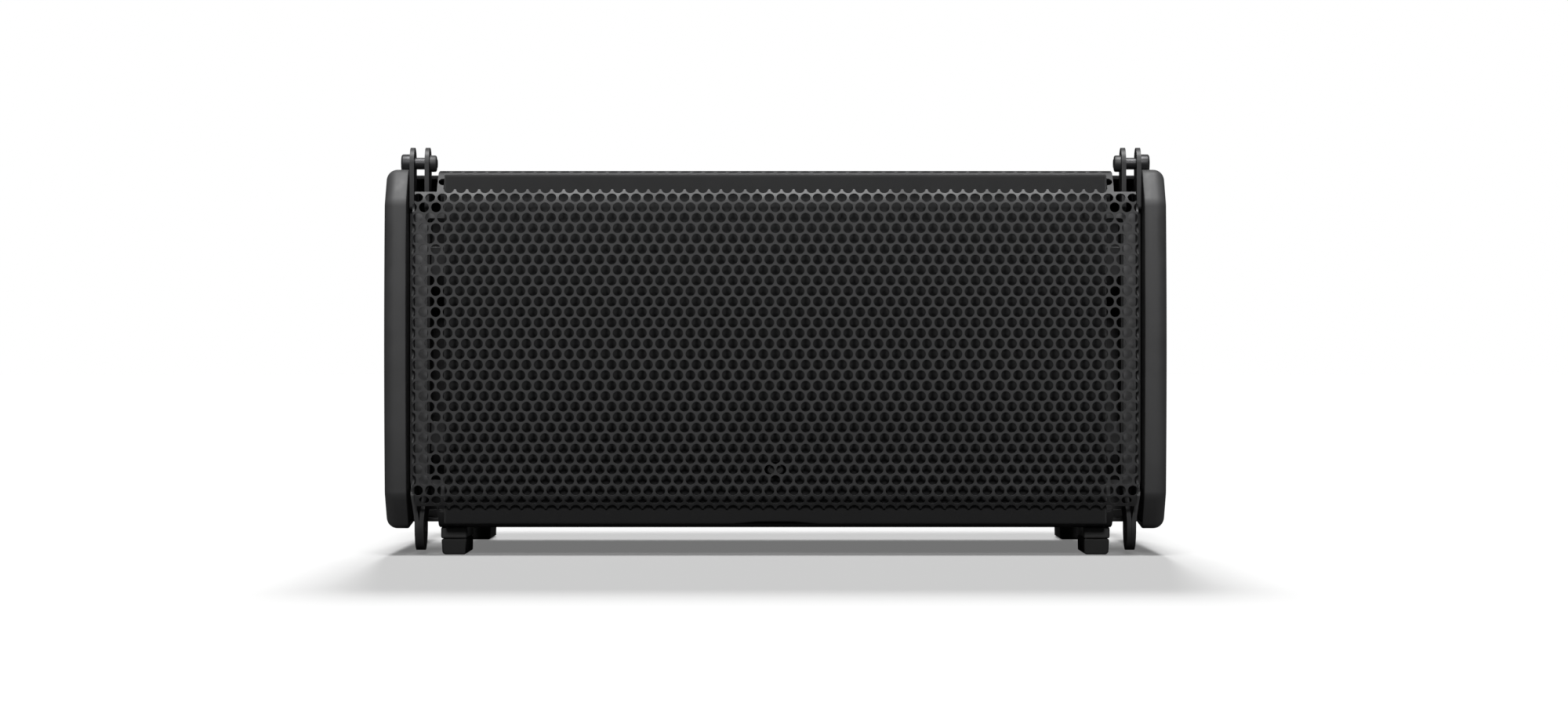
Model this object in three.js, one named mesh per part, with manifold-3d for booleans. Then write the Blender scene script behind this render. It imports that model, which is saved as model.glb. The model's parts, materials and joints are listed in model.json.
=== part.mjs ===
// A compact two-way line array speaker with flying hardware on both sides, in millimetres, +Z up.
// The front faces -Y. The origin is on the floor, under the middle of the bounding box.
// Most outlines are drawn in two working coordinates: depth, measured back from the front of the grille,
// and height, measured from the middle of the cabinet. Side parts are drawn for +X and mirrored for -X.
import * as THREE from "three";
import { mergeVertices } from "three/addons/utils/BufferGeometryUtils.js";
import Module from "manifold-3d";

const wasm = await Module();
wasm.setup();

// ---- driving dimensions ----
const overallDepth = 380;
const middleHeight = 164.2; // of the cabinet's middle above the floor
const taper = Math.tan(THREE.MathUtils.degToRad(5)); // the top and bottom close in by 5 degrees each
const gap = 0.3; // between touching pieces
const roundSegments = 20;
const boreSegments = 12;

const cabinet = { halfWidth: 262, front: 30, rear: 368, halfHeight: 140, wall: 12 };
const grilleForm = {
  halfWidth: 287.8, // over the side returns
  bow: 5, // how far the edges of the front stand behind its middle
  creaseHeight: 117.1,
  shoulderRadius: 77.7,
  shoulderStart: 30, // degrees from the vertical at the crease
  shoulderEnd: 55,
  thickness: 1.5,
  wingTop: 124.7, // where the wings stop, to let the flying hardware out
  tabOuter: 270.3,
  windowBottom: 126.9,
  windowTop: 139.3,
  flangeEnd: 52,
  returnDepth: 18.5,
};
const cloth = { halfWidth: 263.3, halfHeight: 139, front: 14, back: 26 };
const stud = { height: -95.6, width: 13, tall: 7.7, front: 7 };
const cheek = {
  inner: 292.4,
  outer: 310.4,
  bow: 5,
  chamferHeight: 117,
  chamferDepth: 24.7,
  halfHeight: 143.6,
  rear: 380,
  rearCorner: 18,
  wall: 3.5,
  edgeRound: 8.7,
};
const handSlot = { depth: 205, height: 8, length: 116, tall: 38 };
const plate = 3.5; // thickness of the flying hardware's steel
const ear = { outerFace: 291.9, innerFace: 276.4, radius: 12.75 };
const tongue = { outerFace: 287.2, innerFace: 280.1, radius: 19, height: -141.8 };
const frontPin = { depth: 38, height: 148.4, radius: 4.7, bore: 4.9 };
const rearPin = { depth: 345, height: 137.7, radius: 4, bore: 4.2 };
const pin = { headRadius: 7.45, headLength: 7.4, tip: 270.6, collarRadius: 6.65, collarEnd: 271.2 };
const rearPivot = { depth: 345, height: -90 };
const link = { inner: 281.2, outer: 287.2, radius: 10, lean: 11.5, holes: [20, 30.6, 41.3, 51.9, 62.5] };
const woofer = { x: 144, frameRadius: 103, coneRadius: 76, magnetRadius: 58, coilRadius: 19 };
const baffleForm = { front: 40, back: 55 };
const horn = { halfWidth: 30, halfHeight: 114, flange: 37, throatDepth: 112, driverHeight: 52 };
const foot = { inner: 246.4, outer: 267.3, length: 66, frontDepth: 31, rearDepth: 283, padHeight: 12.5 };

const frontY = -overallDepth / 2;
const roofHeight = (depth) => cabinet.halfHeight - (depth - cabinet.front) * taper;

// ---- working tools ----
// A closed solid from a geometry, turned the right way out.
function solidOf(geometry) {
  const bare = geometry.clone();
  bare.deleteAttribute("normal");
  bare.deleteAttribute("uv");
  const merged = mergeVertices(bare, 1e-4);
  const build = (triVerts) =>
    new wasm.Manifold(
      new wasm.Mesh({
        numProp: 3,
        vertProperties: new Float32Array(merged.attributes.position.array),
        triVerts,
      }),
    );
  const faces = new Uint32Array(merged.index.array);
  const made = build(faces);
  return made.volume() > 0 ? made : build(faces.reverse());
}

function geometryOf(solid) {
  const mesh = solid.getMesh();
  const count = mesh.numProp;
  const positions = new Float32Array(mesh.numVert * 3);
  for (let i = 0; i < mesh.numVert; i++) {
    positions.set(mesh.vertProperties.subarray(i * count, i * count + 3), i * 3);
  }
  const geometry = new THREE.BufferGeometry();
  geometry.setAttribute("position", new THREE.BufferAttribute(positions, 3));
  geometry.setIndex(new THREE.BufferAttribute(mesh.triVerts, 1));
  return geometry;
}

const join = (first, ...others) => others.reduce((sum, other) => sum.add(other), first);
const cut = (first, ...others) => others.reduce((rest, other) => rest.subtract(other), first);
const isShape = (outline) => outline instanceof THREE.Shape;
const pointsOf = (pairs) => pairs.map((pair) => new THREE.Vector2(...pair));
const shapeOf = (outline) => (isShape(outline) ? outline : new THREE.Shape(pointsOf(outline)));

// An outline of [depth, height] points, carried along X from x0 to x1.
function alongX(outline, x0, x1, options = {}) {
  const geometry = new THREE.ExtrudeGeometry(shapeOf(outline), {
    depth: x1 - x0,
    bevelEnabled: false,
    curveSegments: 8,
    ...options,
  });
  const turn = new THREE.Matrix4().set(0, 0, 1, x0, 1, 0, 0, frontY, 0, 1, 0, middleHeight, 0, 0, 0, 1);
  return solidOf(geometry.applyMatrix4(turn));
}

// An outline of [x, height] points, carried back from one depth to another.
function alongDepth(outline, depth0, depth1, options = {}) {
  const geometry = new THREE.ExtrudeGeometry(shapeOf(outline), {
    depth: depth1 - depth0,
    bevelEnabled: false,
    curveSegments: 8,
    ...options,
  });
  const turn = new THREE.Matrix4().makeRotationX(Math.PI / 2);
  turn.setPosition(0, frontY + depth1, middleHeight);
  return solidOf(geometry.applyMatrix4(turn));
}

// A block from its limits in x, depth and height.
function block(x0, x1, depth0, depth1, height0, height1) {
  const geometry = new THREE.BoxGeometry(x1 - x0, depth1 - depth0, height1 - height0);
  geometry.translate((x0 + x1) / 2, frontY + (depth0 + depth1) / 2, middleHeight + (height0 + height1) / 2);
  return solidOf(geometry);
}

// A profile of [radius, station] points turned about a line along X, through a depth and a height.
function turnedAlongX(profile, depth, height, segments = boreSegments) {
  const geometry = new THREE.LatheGeometry(pointsOf(profile), segments);
  geometry.rotateZ(-Math.PI / 2);
  geometry.translate(0, frontY + depth, middleHeight + height);
  return solidOf(geometry);
}

// A profile of [radius, depth] points turned about a line running front to back, through x and a height.
// A profile that leaves the axis open is closed on itself and makes a ring.
function turnedAlongDepth(profile, x, height, segments = roundSegments) {
  const closed = profile[0][0] > 0 ? [...profile, profile[0]] : profile;
  const geometry = new THREE.LatheGeometry(pointsOf(closed), segments);
  geometry.translate(x, frontY, middleHeight + height);
  return solidOf(geometry);
}

const rodAlongX = (radius, x0, x1, depth, height, segments) =>
  turnedAlongX([[0, x0], [radius, x0], [radius, x1], [0, x1]], depth, height, segments);
const rodAlongDepth = (radius, depth0, depth1, x, height, segments) =>
  turnedAlongDepth([[0, depth0], [radius, depth0], [radius, depth1], [0, depth1]], x, height, segments);

// A four-sided spout between two upright rectangles centred on x = 0.
function spout(halfWidth0, low0, high0, depth0, halfWidth1, low1, high1, depth1) {
  const corners = [
    [-halfWidth0, depth0, low0],
    [halfWidth0, depth0, low0],
    [halfWidth0, depth0, high0],
    [-halfWidth0, depth0, high0],
    [-halfWidth1, depth1, low1],
    [halfWidth1, depth1, low1],
    [halfWidth1, depth1, high1],
    [-halfWidth1, depth1, high1],
  ].flatMap(([x, depth, height]) => [x, frontY + depth, middleHeight + height]);
  const quads = [[0, 1, 2, 3], [5, 4, 7, 6], [4, 0, 3, 7], [1, 5, 6, 2], [3, 2, 6, 7], [4, 5, 1, 0]];
  const geometry = new THREE.BufferGeometry();
  geometry.setAttribute("position", new THREE.BufferAttribute(new Float32Array(corners), 3));
  geometry.setIndex(quads.flatMap(([a, b, c, d]) => [a, b, c, a, c, d]));
  return solidOf(geometry);
}

// A slot outline with round ends, its long side level.
function slotOutline(length, tall, x = 0, y = 0) {
  const radius = tall / 2;
  const reach = length / 2 - radius;
  const shape = new THREE.Shape();
  shape.absarc(x + reach, y, radius, -Math.PI / 2, Math.PI / 2);
  shape.absarc(x - reach, y, radius, Math.PI / 2, (3 * Math.PI) / 2);
  return shape;
}

// ---- materials ----
function finish(color, roughness, metalness = 0) {
  return new THREE.MeshStandardMaterial({ color, roughness, metalness });
}


const finishes = {
  paintedPly: finish(0x141414, 0.75),
  grilleSteel: finish(0x303030, 0.55, 0.3),
  cloth: finish(0x1a1a1a, 0.95),
  cheekPlastic: finish(0x2a2a2a, 0.6),
  hardwareSteel: finish(0x262626, 0.5, 0.4),
  pinSteel: finish(0x2e2e2e, 0.35, 0.7),
  rubber: finish(0x181818, 0.85),
  footPlastic: finish(0x1c1c1c, 0.7),
  castBasket: finish(0x202022, 0.6, 0.4),
  magnet: finish(0x2a2a2c, 0.7, 0.2),
  cone: finish(0x161616, 0.85),
  surround: finish(0x121212, 0.8),
  spider: finish(0x8a6a38, 0.9),
  hornPlastic: finish(0x151515, 0.5),
  socketPlastic: finish(0x15305a, 0.5),
  circuit: finish(0x1f5a36, 0.6),
};

const speaker = new THREE.Group();

function add(name, solid, material) {
  const mesh = new THREE.Mesh(geometryOf(solid), material);
  mesh.name = name;
  speaker.add(mesh);
  return mesh;
}

// The same solid on both sides: as drawn for +X on the right, and mirrored on the left.
function addPair(name, solid, material) {
  add(name + "_right", solid, material);
  add(name + "_left", solid, material).scale.x = -1;
}

// ---- cabinet ----
function slopingPanel(side) {
  const { front, rear, wall, halfWidth } = cabinet;
  const outline = [
    [front, side * roofHeight(front)],
    [rear, side * roofHeight(rear)],
    [rear, side * (roofHeight(rear) - wall)],
    [front, side * (roofHeight(front) - wall)],
  ];
  return alongX(outline, -halfWidth, halfWidth);
}

// An upright board between the top and bottom panels, from one depth to another.
function boardOutline(depth0, depth1) {
  const inside = (depth) => roofHeight(depth) - cabinet.wall - gap;
  return [
    [depth0, inside(depth0)],
    [depth1, inside(depth1)],
    [depth1, -inside(depth1)],
    [depth0, -inside(depth0)],
  ];
}

const rearPanelFront = cabinet.rear - cabinet.wall;
const inputCutOut = { halfWidth: 66, low: -28, high: 42 };
const ports = { x: 228, height: -98.5, radius: 17, bore: 15, back: 150 };

function rearPanel() {
  const board = alongX(boardOutline(rearPanelFront, cabinet.rear), -cabinet.halfWidth, cabinet.halfWidth);
  const { halfWidth, low, high } = inputCutOut;
  return cut(board, block(-halfWidth, halfWidth, rearPanelFront - 5, cabinet.rear + 5, low, high));
}

function baffle() {
  const { front, back } = baffleForm;
  const halfWidth = cabinet.halfWidth - cabinet.wall - gap;
  let board = alongX(boardOutline(front, back), -halfWidth, halfWidth);
  for (const side of [-1, 1]) {
    board = cut(board, rodAlongDepth(92, front - 1, back + 1, side * woofer.x, 0));
    board = cut(board, rodAlongDepth(ports.radius + gap, front - 1, back + 1, side * ports.x, ports.height));
  }
  const hornWidth = horn.halfWidth + 4;
  const hornHeight = horn.halfHeight + 4;
  return cut(board, block(-hornWidth, hornWidth, front - 1, back + 1, -hornHeight, hornHeight));
}

add("top_panel", slopingPanel(1), finishes.paintedPly);
add("bottom_panel", slopingPanel(-1), finishes.paintedPly);
const sideOutline = boardOutline(cabinet.front, rearPanelFront - gap);
const sideInner = cabinet.halfWidth - cabinet.wall;
addPair("side_panel", alongX(sideOutline, sideInner, cabinet.halfWidth), finishes.paintedPly);
add("rear_panel", rearPanel(), finishes.paintedPly);
add("baffle", baffle(), finishes.paintedPly);

// ---- woofers ----
const magnetForm = { plateFront: 97, ferriteFront: 103.3, backFront: 121, back: 129 };

function wooferBasket() {
  const { frameRadius, magnetRadius } = woofer;
  const front = baffleForm.front;
  const seat = magnetForm.plateFront - gap;
  const rim = turnedAlongDepth(
    [[90, front - 4], [frameRadius, front - 4], [frameRadius, front - gap], [90, front - gap]],
    0,
    0,
  );
  const cageProfile = [[88, front - 3], [91, front - 3], [91, 60], [50, seat], [45, seat], [88, 59]];
  const cage = turnedAlongDepth(cageProfile, 0, 0);
  const windowPairs = 2;
  let basket = join(rim, cage);
  for (let i = 0; i < windowPairs; i++) {
    const angle = (i * Math.PI) / windowPairs + Math.PI / 4;
    const opening = new THREE.BoxGeometry(220, 29, 62);
    opening.rotateY(angle);
    opening.translate(0, frontY + 74.5, middleHeight);
    basket = cut(basket, solidOf(opening));
  }
  const seatRadius = magnetRadius - 8;
  const seatProfile = [[30, seat - 4], [seatRadius, seat - 4], [seatRadius, seat], [30, seat]];
  return join(basket, turnedAlongDepth(seatProfile, 0, 0));
}

function wooferMagnet() {
  const { magnetRadius, coilRadius } = woofer;
  const { plateFront, ferriteFront, backFront, back } = magnetForm;
  const poleRadius = coilRadius - 1.2;
  const gapRadius = coilRadius + 1.6;
  const profile = [
    [8, plateFront - 2],
    [poleRadius, plateFront - 2],
    [poleRadius, backFront],
    [gapRadius + 8, backFront],
    [gapRadius + 8, ferriteFront],
    [gapRadius, ferriteFront],
    [gapRadius, plateFront],
    [magnetRadius - 8, plateFront],
    [magnetRadius - 8, ferriteFront],
    [magnetRadius, ferriteFront],
    [magnetRadius, backFront],
    [magnetRadius - 10, back],
    [8, back],
  ];
  return turnedAlongDepth(profile, 0, 0);
}

function wooferCone() {
  const { coneRadius, coilRadius } = woofer;
  const profile = [
    [coneRadius, 43.4],
    [coneRadius, 45],
    [50, 64.6],
    [coilRadius + 0.6, 84.6],
    [coilRadius + 0.6, 106],
    [coilRadius - 0.4, 106],
    [coilRadius - 0.4, 82.4],
    [49, 62.6],
  ];
  return turnedAlongDepth(profile, 0, 0);
}

// The half-roll between the cone's edge, which sits a little deeper, and the basket's rim.
function wooferSurround() {
  const inner = woofer.coneRadius + gap;
  const outer = 87.6;
  const profile = [
    [inner, 45],
    [inner, 43.4],
    [inner + 2, 37],
    [inner + 6, 35],
    [outer - 1.6, 37],
    [outer, 40.6],
    [outer - 1.2, 40.6],
    [inner + 6, 36.4],
    [inner + 2.8, 38],
  ];
  return turnedAlongDepth(profile, 0, 0);
}

function wooferDustCap() {
  const radius = 27;
  const profile = [[0, 61.6], [14, 64], [radius, 73], [radius - 1.8, 73.4], [13, 65.6], [0, 63.4]];
  return turnedAlongDepth(profile, 0, 0);
}

// The corrugated suspension that centres the coil.
function wooferSpider() {
  const ridges = 2;
  const inner = woofer.coilRadius + 0.6 + gap;
  const outer = 43;
  const steps = 2 * ridges;
  const wave = (offset) =>
    Array.from({ length: steps + 1 }, (_, i) => [
      inner + ((outer - inner) * i) / steps,
      88.5 + offset + (i % 2 ? 1.2 : 0),
    ]);
  const profile = [...wave(0), ...wave(1.2).reverse()];
  return turnedAlongDepth(profile, 0, 0);
}

const wooferPieces = [
  ["woofer_basket", wooferBasket(), finishes.castBasket],
  ["woofer_magnet", wooferMagnet(), finishes.magnet],
  ["woofer_cone", wooferCone(), finishes.cone],
  ["woofer_surround", wooferSurround(), finishes.surround],
  ["woofer_dust_cap", wooferDustCap(), finishes.cone],
  ["woofer_spider", wooferSpider(), finishes.spider],
];
for (const [name, solid, material] of wooferPieces) {
  for (const [suffix, side] of [["_left", -1], ["_right", 1]]) {
    add(name + suffix, solid, material).position.x = side * woofer.x;
  }
}

// ---- high-frequency section ----
function waveguide() {
  const { halfWidth, halfHeight, flange, throatDepth, driverHeight } = horn;
  const front = baffleForm.front;
  const flangeHeight = halfHeight + 8;
  const outerMouth = halfHeight + 3;
  const outerThroat = halfHeight - 20;
  const innerThroat = halfHeight - 28;
  const shell = join(
    block(-flange, flange, front - 4, front - gap, -flangeHeight, flangeHeight),
    spout(halfWidth + 3, -outerMouth, outerMouth, front - 2, 14, -outerThroat, outerThroat, throatDepth - 12),
    block(-30, 30, throatDepth - 14, throatDepth - gap, -driverHeight - 32, driverHeight + 32),
  );
  const mouth = [halfWidth + 0.5, -halfHeight, halfHeight, front - 5];
  const throat = [8, -innerThroat, innerThroat, throatDepth - 13];
  let horned = cut(shell, spout(...mouth, ...throat));
  for (const side of [-1, 1]) {
    const height = side * driverHeight;
    horned = cut(horned, rodAlongDepth(12, throatDepth - 16, throatDepth + 1, 0, height, boreSegments));
  }
  return horned;
}

function compressionDriver(height) {
  const start = horn.throatDepth;
  const profile = [
    [0, start + 3],
    [12, start],
    [30, start],
    [43, start + 9],
    [43, start + 34],
    [36, start + 40],
    [36, start + 52],
    [0, start + 54],
  ];
  return turnedAlongDepth(profile, 0, height);
}

add("waveguide", waveguide(), finishes.hornPlastic);
add("compression_driver_upper", compressionDriver(horn.driverHeight), finishes.magnet);
add("compression_driver_lower", compressionDriver(-horn.driverHeight), finishes.magnet);

// ---- ports ----
function portTube() {
  const { radius, bore, back } = ports;
  const front = baffleForm.front;
  const profile = [
    [bore + 4, front - 3],
    [radius + 3.5, front - 3],
    [radius + 3.5, front - gap],
    [radius, front - gap],
    [radius, back],
    [bore, back],
    [bore, front + 6],
  ];
  return turnedAlongDepth(profile, ports.x, ports.height, roundSegments);
}

addPair("port_tube", portTube(), finishes.hornPlastic);

// ---- crossover and input ----
function crossoverBoard() {
  const back = rearPanelFront - gap;
  const face = back - 8;
  return join(
    block(-78, 78, face - 2, face, -96, -34),
    ...[-70, 70].flatMap((x) => [-90, -40].map((height) => rodAlongDepth(3, face - 1, back, x, height, 6))),
    turnedAlongDepth([[9, face - 22], [20, face - 22], [20, face - 1], [9, face - 1]], -48, -65, 16),
    turnedAlongDepth([[7, face - 18], [16, face - 18], [16, face - 1], [7, face - 1]], 0, -70, 16),
    block(30, 66, face - 15, face - 1, -58, -44),
    block(30, 66, face - 13, face - 1, -82, -68),
  );
}

const sockets = { x: 30, height: 7, collar: 12.6, bore: 10.6, flange: 15.5, tail: 342 };
const inputPlate = { halfWidth: 80, low: -40, high: 54, front: cabinet.rear + gap, back: cabinet.rear + 2.8 };

function inputPlateSolid() {
  const { halfWidth, low, high, front, back } = inputPlate;
  const sheet = block(-halfWidth, halfWidth, front, back, low, high);
  const { x, height, collar } = sockets;
  const holes = [-1, 1].map((side) => rodAlongDepth(collar + gap, front - 1, back + 1, side * x, height, 16));
  return cut(sheet, ...holes);
}

// A round locking socket: a flange on the plate, a collar through it and a well round a centre post.
function speakerSocket() {
  const { collar, bore, flange, tail, x, height } = sockets;
  const face = inputPlate.back + gap;
  const profile = [
    [0, tail],
    [collar, tail],
    [collar, face],
    [flange, face],
    [flange, face + 3],
    [bore, face + 3],
    [bore, face - 15],
    [4.5, face - 15],
    [4.5, face - 1],
    [0, face - 1],
  ];
  return turnedAlongDepth(profile, x, height, 16);
}

add("crossover_board", crossoverBoard(), finishes.circuit);
add("input_plate", inputPlateSolid(), finishes.hardwareSteel);
addPair("speaker_socket", speakerSocket(), finishes.socketPlastic);

// ---- front: grille, cloth panel and stud ----
// Depth of the front's outer skin at a height, up to the crease.
const bowDepth = (height) => grilleForm.bow * (height / grilleForm.creaseHeight) ** 2;

// Half of the grille's section, from the middle up to the end of its top flange, offset inwards.
function grilleSection(inset) {
  const { creaseHeight, shoulderRadius, shoulderStart, shoulderEnd, bow, flangeEnd } = grilleForm;
  const points = [0, 0.25, 0.5, 0.75, 1].map((t) => [
    bowDepth(t * creaseHeight) + inset,
    t * (creaseHeight - inset * 0.27),
  ]);
  const start = THREE.MathUtils.degToRad(shoulderStart);
  const end = THREE.MathUtils.degToRad(shoulderEnd);
  const steps = 5;
  for (let i = 1; i <= steps; i++) {
    const angle = start + ((end - start) * i) / steps;
    const depth = bow + shoulderRadius * (Math.cos(start) - Math.cos(angle));
    const height = creaseHeight + shoulderRadius * (Math.sin(angle) - Math.sin(start));
    points.push([depth + inset * Math.cos(angle), height - inset * Math.sin(angle)]);
  }
  points.push([flangeEnd, roofHeight(flangeEnd) + gap + grilleForm.thickness - inset]);
  return points;
}

function grille() {
  const { halfWidth, thickness, wingTop, tabOuter, windowBottom, windowTop, returnDepth } = grilleForm;
  const outside = grilleSection(0);
  const inside = grilleSection(thickness);
  const flip = (points) => points.slice(1).map(([depth, height]) => [depth, -height]);
  const outline = [...flip(outside).reverse(), ...outside, ...inside.slice().reverse(), ...flip(inside)];
  let sheet = alongX(outline, -halfWidth, halfWidth);
  for (const side of [-1, 1]) {
    const low = Math.min(side * windowBottom, side * windowTop);
    const high = Math.max(side * windowBottom, side * windowTop);
    sheet = cut(sheet, block(-cloth.halfWidth - gap, cloth.halfWidth + gap, -5, 40, low, high));
    const wingLow = Math.min(side * wingTop, side * 160);
    const wingHigh = Math.max(side * wingTop, side * 160);
    sheet = cut(sheet, block(tabOuter, halfWidth + 5, -5, 80, wingLow, wingHigh));
    sheet = cut(sheet, block(-halfWidth - 5, -tabOuter, -5, 80, wingLow, wingHigh));
  }
  const returnFlange = block(halfWidth - thickness, halfWidth, 5.6, returnDepth, -wingTop + 8, wingTop - 8);
  const mirrored = block(-halfWidth, thickness - halfWidth, 5.6, returnDepth, -wingTop + 8, wingTop - 8);
  return join(sheet, returnFlange, mirrored);
}

function clothPanel() {
  const { halfWidth, halfHeight, front, back } = cloth;
  const panel = block(-halfWidth, halfWidth, front, back, -halfHeight, halfHeight);
  const recess = slotOutline(stud.width + 4.5, stud.tall + 3.5, 0, stud.height);
  return cut(panel, alongDepth(recess, front - 1, back + 1));
}

add("grille", grille(), finishes.grilleSteel);
add("grille_cloth_panel", clothPanel(), finishes.cloth);
add(
  "grille_stud",
  alongDepth(slotOutline(stud.width, stud.tall, 0, stud.height), stud.front, baffleForm.front - 4 - gap),
  finishes.hornPlastic,
);

// ---- cheeks ----
function cheekOutline(inset) {
  const { bow, chamferHeight, chamferDepth, halfHeight, rear, rearCorner } = cheek;
  const top = (depth) => halfHeight - inset - (depth - chamferDepth) * taper;
  const bowed = [0.5, 0.9].map((t) => [inset + bow * t * t, t * (chamferHeight - inset * 0.3)]);
  const upper = [
    ...bowed,
    [bow + inset, chamferHeight - inset * 0.3],
    [chamferDepth + inset * 0.7, top(chamferDepth)],
    [rear - rearCorner, top(rear - rearCorner)],
    [rear - rearCorner * 0.3 - inset * 0.7, top(rear) - rearCorner * 0.3],
    [rear - inset, top(rear) - rearCorner],
  ];
  const lower = upper.map(([depth, height]) => [depth, -height]).reverse();
  return [...upper, ...lower];
}

function cheekCover() {
  const { inner, outer, edgeRound, wall } = cheek;
  const rounded = alongX(cheekOutline(0), inner - edgeRound, outer - edgeRound, {
    bevelEnabled: true,
    bevelThickness: edgeRound,
    bevelSize: edgeRound,
    bevelOffset: -edgeRound,
    bevelSegments: 3,
  });
  const pastEdge = inner - 2 * edgeRound - 5;
  const cavity = alongX(cheekOutline(wall), pastEdge, outer - wall - 1);
  const { length, tall, depth, height } = handSlot;
  const slot = alongX(slotOutline(length, tall, depth, height), inner, outer + 5);
  const grooveFloor = 140.2;
  const groove = block(inner - 5, outer + 5, frontPin.depth - 8.2, frontPin.depth + 8.2, grooveFloor, 160);
  const headRelief = block(inner - 5, 298.4, -5, frontPin.depth + 8.2, grooveFloor, 160);
  return cut(rounded, block(pastEdge, inner, -20, 400, -200, 200), cavity, slot, groove, headRelief);
}

function cheekInnerPanel() {
  const { inner, wall } = cheek;
  const face = inner + gap + 0.1;
  const sheet = alongX(cheekOutline(wall + gap + 2), face, face + 2);
  const { length, tall, depth, height } = handSlot;
  return cut(sheet, alongX(slotOutline(length - 4, tall - 4, depth, height), inner - 5, inner + 9));
}

addPair("cheek_cover", cheekCover(), finishes.cheekPlastic);
addPair("cheek_inner_panel", cheekInnerPanel(), finishes.hardwareSteel);

// ---- front flying hardware ----
// The side outline that both front plates share: an ear above, a tongue below.
function frontPlateOutline() {
  const { depth, height } = frontPin;
  const stepBack = 32;
  const shape = new THREE.Shape();
  shape.moveTo(depth - ear.radius, height);
  shape.absarc(depth, height, ear.radius, Math.PI, 0, true);
  shape.lineTo(depth + ear.radius, 112);
  shape.lineTo(depth + tongue.radius, 104);
  shape.lineTo(depth + tongue.radius, tongue.height);
  shape.absarc(depth, tongue.height, tongue.radius, 0, -Math.PI, true);
  shape.lineTo(depth - tongue.radius, -114);
  shape.lineTo(stepBack, -110.6);
  shape.lineTo(stepBack, 110.6);
  shape.lineTo(depth - ear.radius, 111.2);
  return shape;
}

// A plate standing at earFace above, joggled over to tongueFace below.
function joggledPlate(earFace, tongueFace) {
  const bendTop = -105.6;
  const bendBottom = -136.5;
  const section = [
    [earFace, 165],
    [earFace, bendTop],
    [tongueFace, bendBottom],
    [tongueFace, -165],
    [tongueFace + plate, -165],
    [tongueFace + plate, bendBottom],
    [earFace + plate, bendTop],
    [earFace + plate, 165],
  ];
  const blank = alongX(frontPlateOutline(), ear.innerFace - 10, ear.outerFace + 10);
  return blank.intersect(alongDepth(section, 10, 70));
}

function drilled(solid, bore, spots) {
  return cut(solid, ...spots.map(({ depth, height }) => rodAlongX(bore, 255, 300, depth, height)));
}

const frontBores = [frontPin, { depth: frontPin.depth, height: tongue.height }];

function pinCollar({ depth, height }) {
  return rodAlongX(pin.collarRadius, pin.collarEnd, ear.innerFace + 1, depth, height);
}

function innerFrontPlate() {
  const sheet = joggledPlate(ear.innerFace, tongue.innerFace);
  const collar = pinCollar(frontPin);
  const standOffs = [-70, 70].map((height) =>
    block(cabinet.halfWidth + gap, ear.innerFace + 1, 40, 56, height - 12, height + 12),
  );
  return drilled(join(sheet, collar, ...standOffs), frontPin.bore, frontBores);
}

addPair(
  "front_plate_outer",
  drilled(joggledPlate(ear.outerFace - plate, tongue.outerFace - plate + 0.1), frontPin.bore, frontBores),
  finishes.hardwareSteel,
);
addPair("front_plate_inner", innerFrontPlate(), finishes.hardwareSteel);

// The flat strip in front of the plates, with an arm at each end that reaches back to the cabinet's corner.
function facePlate() {
  const strip = { inner: 277.8, outer: 288.2, top: 109, arm: 104.4 };
  const cabinetEdge = { inner: 263.2, outer: 267.2, top: 124 };
  const outline = [];
  for (const side of [1, -1]) {
    const corner = [
      [strip.inner, side * strip.arm],
      [cabinetEdge.inner, side * strip.arm],
      [cabinetEdge.inner, side * cabinetEdge.top],
      [cabinetEdge.outer, side * cabinetEdge.top],
      [cabinetEdge.outer, side * strip.top],
      [strip.outer, side * strip.top],
    ];
    outline.push(...(side > 0 ? corner : corner.reverse()));
  }
  return alongDepth(outline, 28, 31);
}

addPair("rigging_face_plate", facePlate(), finishes.hardwareSteel);

// ---- quick-release pins ----
function releasePin({ depth, height, radius }) {
  const shoulder = ear.outerFace + 0.05;
  const end = shoulder + pin.headLength;
  const profile = [
    [0, pin.tip],
    [radius - 1, pin.tip],
    [radius, pin.tip + 1.5],
    [radius, shoulder],
    [pin.headRadius, shoulder],
    [pin.headRadius, end - 1.6],
    [pin.headRadius - 1.6, end],
    [0, end],
  ];
  return turnedAlongX(profile, depth, height);
}

addPair("front_pin", releasePin(frontPin), finishes.pinSteel);
addPair("rear_pin", releasePin(rearPin), finishes.pinSteel);

// ---- side brackets between the cabinet and the cheeks ----
function sideBracket() {
  const front = 60;
  const back = 110;
  const thick = 3.6;
  const proud = { top: 2.9, bottom: 1.8 }; // how far each flange stands out past the cabinet
  const face = cabinet.halfWidth + gap;
  const flangeOutline = (side) => {
    const outside = side > 0 ? proud.top : proud.bottom;
    return [
      [front, side * (roofHeight(front) + outside)],
      [back, side * (roofHeight(back) + outside)],
      [back, side * (roofHeight(back) + outside - thick)],
      [front, side * (roofHeight(front) + outside - thick)],
    ];
  };
  const inside = roofHeight(back);
  return join(
    block(face, face + thick, front, back, -inside, inside),
    block(face, cheek.inner, back - thick, back, -inside, inside),
    ...[1, -1].map((side) => alongX(flangeOutline(side), face, cheek.inner)),
  );
}

addPair("side_bracket", sideBracket(), finishes.hardwareSteel);

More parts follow.
